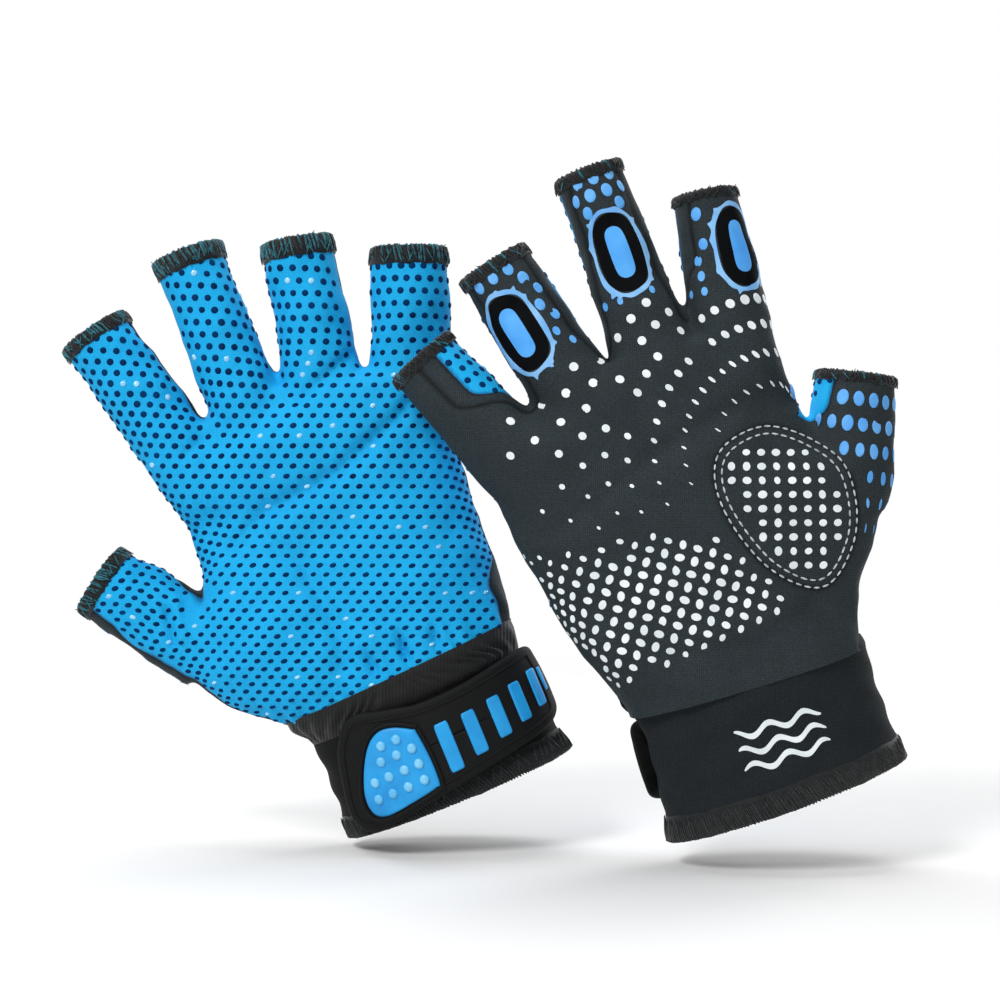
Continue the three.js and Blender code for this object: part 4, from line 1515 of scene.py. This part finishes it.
def rounded_bar(x, z, width, height):
    """A bar's outline with rounded corners."""
    half = np.array([width / 2, height / 2])
    angles = np.linspace(0, 2 * math.pi, 28, endpoint=False)
    points = np.column_stack(squared(angles, BAR_CORNERS)) * half + np.array([x, z])
    points[:, 0] += (points[:, 1] - z) * 0.05  # the bars lean a little
    return points


def add_strap(glove, look):
    """The strap with its bars, tab and nubs, and the tapes that hold it."""
    bend = [glove.world(on_strap([x], [20], 0.0)[0]) for x in BEND]
    outline = closed_curve(STRAP_OUTLINE, 8)
    verts, faces = pad(outline, 2.0, 1.4, steps=16)
    rim_line = closed_curve(TAB_OUTLINE, 8)
    centre = rim_line.mean(axis=0)
    rim = []
    for k in range(len(rim_line) + 1):
        spot = centre + (rim_line[k % len(rim_line)] - centre) * 1.085
        rim.append(on_strap([spot[0]], [spot[1]], 2.05)[0])
    ahead = unit(np.roll(outline, -1, axis=0) - np.roll(outline, 1, axis=0))
    sideways = np.column_stack([-ahead[:, 1], ahead[:, 0]])
    inner = outline + PIPING_INSET * sideways
    if np.ptp(inner[:, 0]) > np.ptp(outline[:, 0]):
        inner = outline - PIPING_INSET * sideways
    piping = thread(on_strap(inner[:, 0], inner[:, 1], 1.95)[list(range(len(inner))) + [0]], 0.4, 6)
    verts, faces = joined([(verts, faces), thread(rim, 0.75, 8), piping])
    bars = joined([pad(rounded_bar(*bar), 2.5, 0.3, base=1.3, steps=4) for bar in BARS])
    for name, (verts, faces), slot, nodes in (
        ("pull_strap", (verts, faces), "strap", ("strap", "strap_anchor")),
        ("strap_stripes", bars, "blue_rubber", ("strap_bars", "anchor_bar")),
    ):
        obj = mesh_object(glove.name(name), glove.world(verts), faces)
        obj.data.materials.append(look[slot])
        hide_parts(*["glove_{}_{}".format(glove.letter, n) for n in nodes])
        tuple(bend[0])
        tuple(bend[1])
        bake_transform(obj)
    tab = pad(rim_line, 2.55, 0.7, base=1.4, crown=0.35)
    piece(glove, "grip_tab", *tab, [look["blue_rubber"]], "blue_rubber", glove.strap_body,
          ["pull_tab"])
    spots = np.array([(x, z) for z, row in NUB_ROWS for x in row], float)
    base = on_strap(spots[:, 0], spots[:, 1], 2.72)
    normals = unit(on_strap(spots[:, 0], spots[:, 1], 3.72) - base)
    up = np.tile([0.0, 0.0, 1.0], (len(base), 1))
    size = np.full(len(base), 1.55)
    nubs = stamp(base, normals, up, size * 1.08, size, NUB, 20)
    piece(glove, "grip_nubs", *nubs, [look["nub"]], "blue_rubber", glove.strap_body)
    for name, node, body, span, lift in (
        ("loop_tape", "loop_patch", glove.body, (-30, 24), -2.6),
        ("hook_tape", "hook_patch", glove.strap_body, (-26, 6), -1.3),
    ):
        middle, width = sum(span) / 2, span[1] - span[0]
        tape = pad(rounded_bar(middle, 22, width, 20), lift + 1.0, 0.3, base=lift, steps=6)
        piece(glove, name, *tape, [look["tape"]], "tape", body, [node])


# --- Camera ---------------------------------------------------------------------------------

LENS = 70.2
CAMERA_PLACE = (0.0133, -0.65, 0.0973)


def add_camera():
    """A level camera in front of the pair, at the height of the middle of glove A."""
    data = bpy.data.cameras.new("camera")
    data.lens = LENS
    data.clip_start, data.clip_end = 0.02, 20
    camera = placed("camera", data)
    camera.location = CAMERA_PLACE
    camera.rotation_euler = (math.radians(90), 0, 0)
    bpy.context.scene.camera = camera


# --- Stage ----------------------------------------------------------------------------------

def area_light(name, place, target, size, watts):
    """A round lamp that faces a target."""
    data = bpy.data.lights.new(name, "AREA")
    data.shape, data.size, data.energy = "DISK", size, watts
    light = placed(name, data)
    light.location = place
    light.rotation_euler = (Vector(target) - Vector(place)).to_track_quat("-Z", "Y").to_euler()


def add_stage(floor_height):
    """A white floor under soft light from the front, above and both sides."""
    world = bpy.data.worlds.new("studio")
    world.use_nodes = True
    sky = world.node_tree.nodes["Background"]
    sky.inputs["Color"].default_value = (1, 1, 1, 1)
    rays = world.node_tree.nodes.new("ShaderNodeLightPath")
    seen = world.node_tree.nodes.new("ShaderNodeMapRange")
    seen.inputs["To Min"].default_value, seen.inputs["To Max"].default_value = 0.36, 1.0
    world.node_tree.links.new(rays.outputs["Is Camera Ray"], seen.inputs["Value"])
    world.node_tree.links.new(seen.outputs["Result"], sky.inputs["Strength"])
    bpy.context.scene.world = world
    corners = [(x, y, floor_height) for x, y in ((-2, -2), (2, -2), (2, 2), (-2, 2))]
    floor = mesh_object("floor", corners, [(0, 1, 2, 3)])
    paper = Nodes("paper", Roughness=0.9, Specular_IOR_Level=0.1)
    paper.feed("Base Color", paper.mix(paper.noise(40), (0.75, 0.75, 0.75, 1), (0.77, 0.77, 0.77, 1)))
    away = paper.add("ShaderNodeVectorMath", {0: paper.place}, operation="LENGTH")
    paper.feed("Alpha", paper.maths("SUBTRACT", 1.0, paper.ramp(away.outputs["Value"], 0.3, 0.8)))
    floor.data.materials.append(paper.material)
    middle = (0.013, 0, 0.1)
    for name, place, size, watts in (
        ("key", (-0.45, -0.75, 0.75), 0.4, 8.5),
        ("fill", (0.7, -0.7, 0.4), 0.6, 1.0),
        ("top", (0.0, 0.1, 0.95), 0.7, 4.5),
        ("back_left", (-0.7, 0.7, 0.5), 0.5, 4.5),
        ("back_right", (0.7, 0.7, 0.5), 0.5, 4.5),
    ):
        area_light(name, place, middle, size, watts)


# --- The pair -------------------------------------------------------------------------------

add_camera()
bpy.context.scene.view_settings.view_transform = "Standard"
LOOK = make_materials()
MOUNTS = {m["name"]: m for m in frame["record"]["mounts"]}
for glove in (Glove("a", MOUNTS["hand_opening"]), Glove("b", MOUNTS["hand_opening_b"])):
    panels = Skin(glove)
    surface = Surface(*panels.whole)
    add_panels(glove, panels, LOOK)
    # The second set is the pale dots: painted glints standing for highlights on the beads.
    dots, painted_glints = palm_dots(glove, panels)
    piece(glove, "grip_dots", *dots, [LOOK["dot"]], "palm_fabric", glove.body)
    piece(glove, "pearl_dots", *painted_glints, [LOOK["pearl"]], "palm_fabric", glove.body)
    add_prints(glove, panels, surface, LOOK)
    add_stitching(glove, surface, LOOK)
    add_finger_hems(glove, surface, LOOK)
    add_cuff(glove, LOOK)
    add_elastic(glove, surface, LOOK)
    add_strap(glove, LOOK)
add_stage(CAD_BOX[0][2] - FLOOR_GAP)
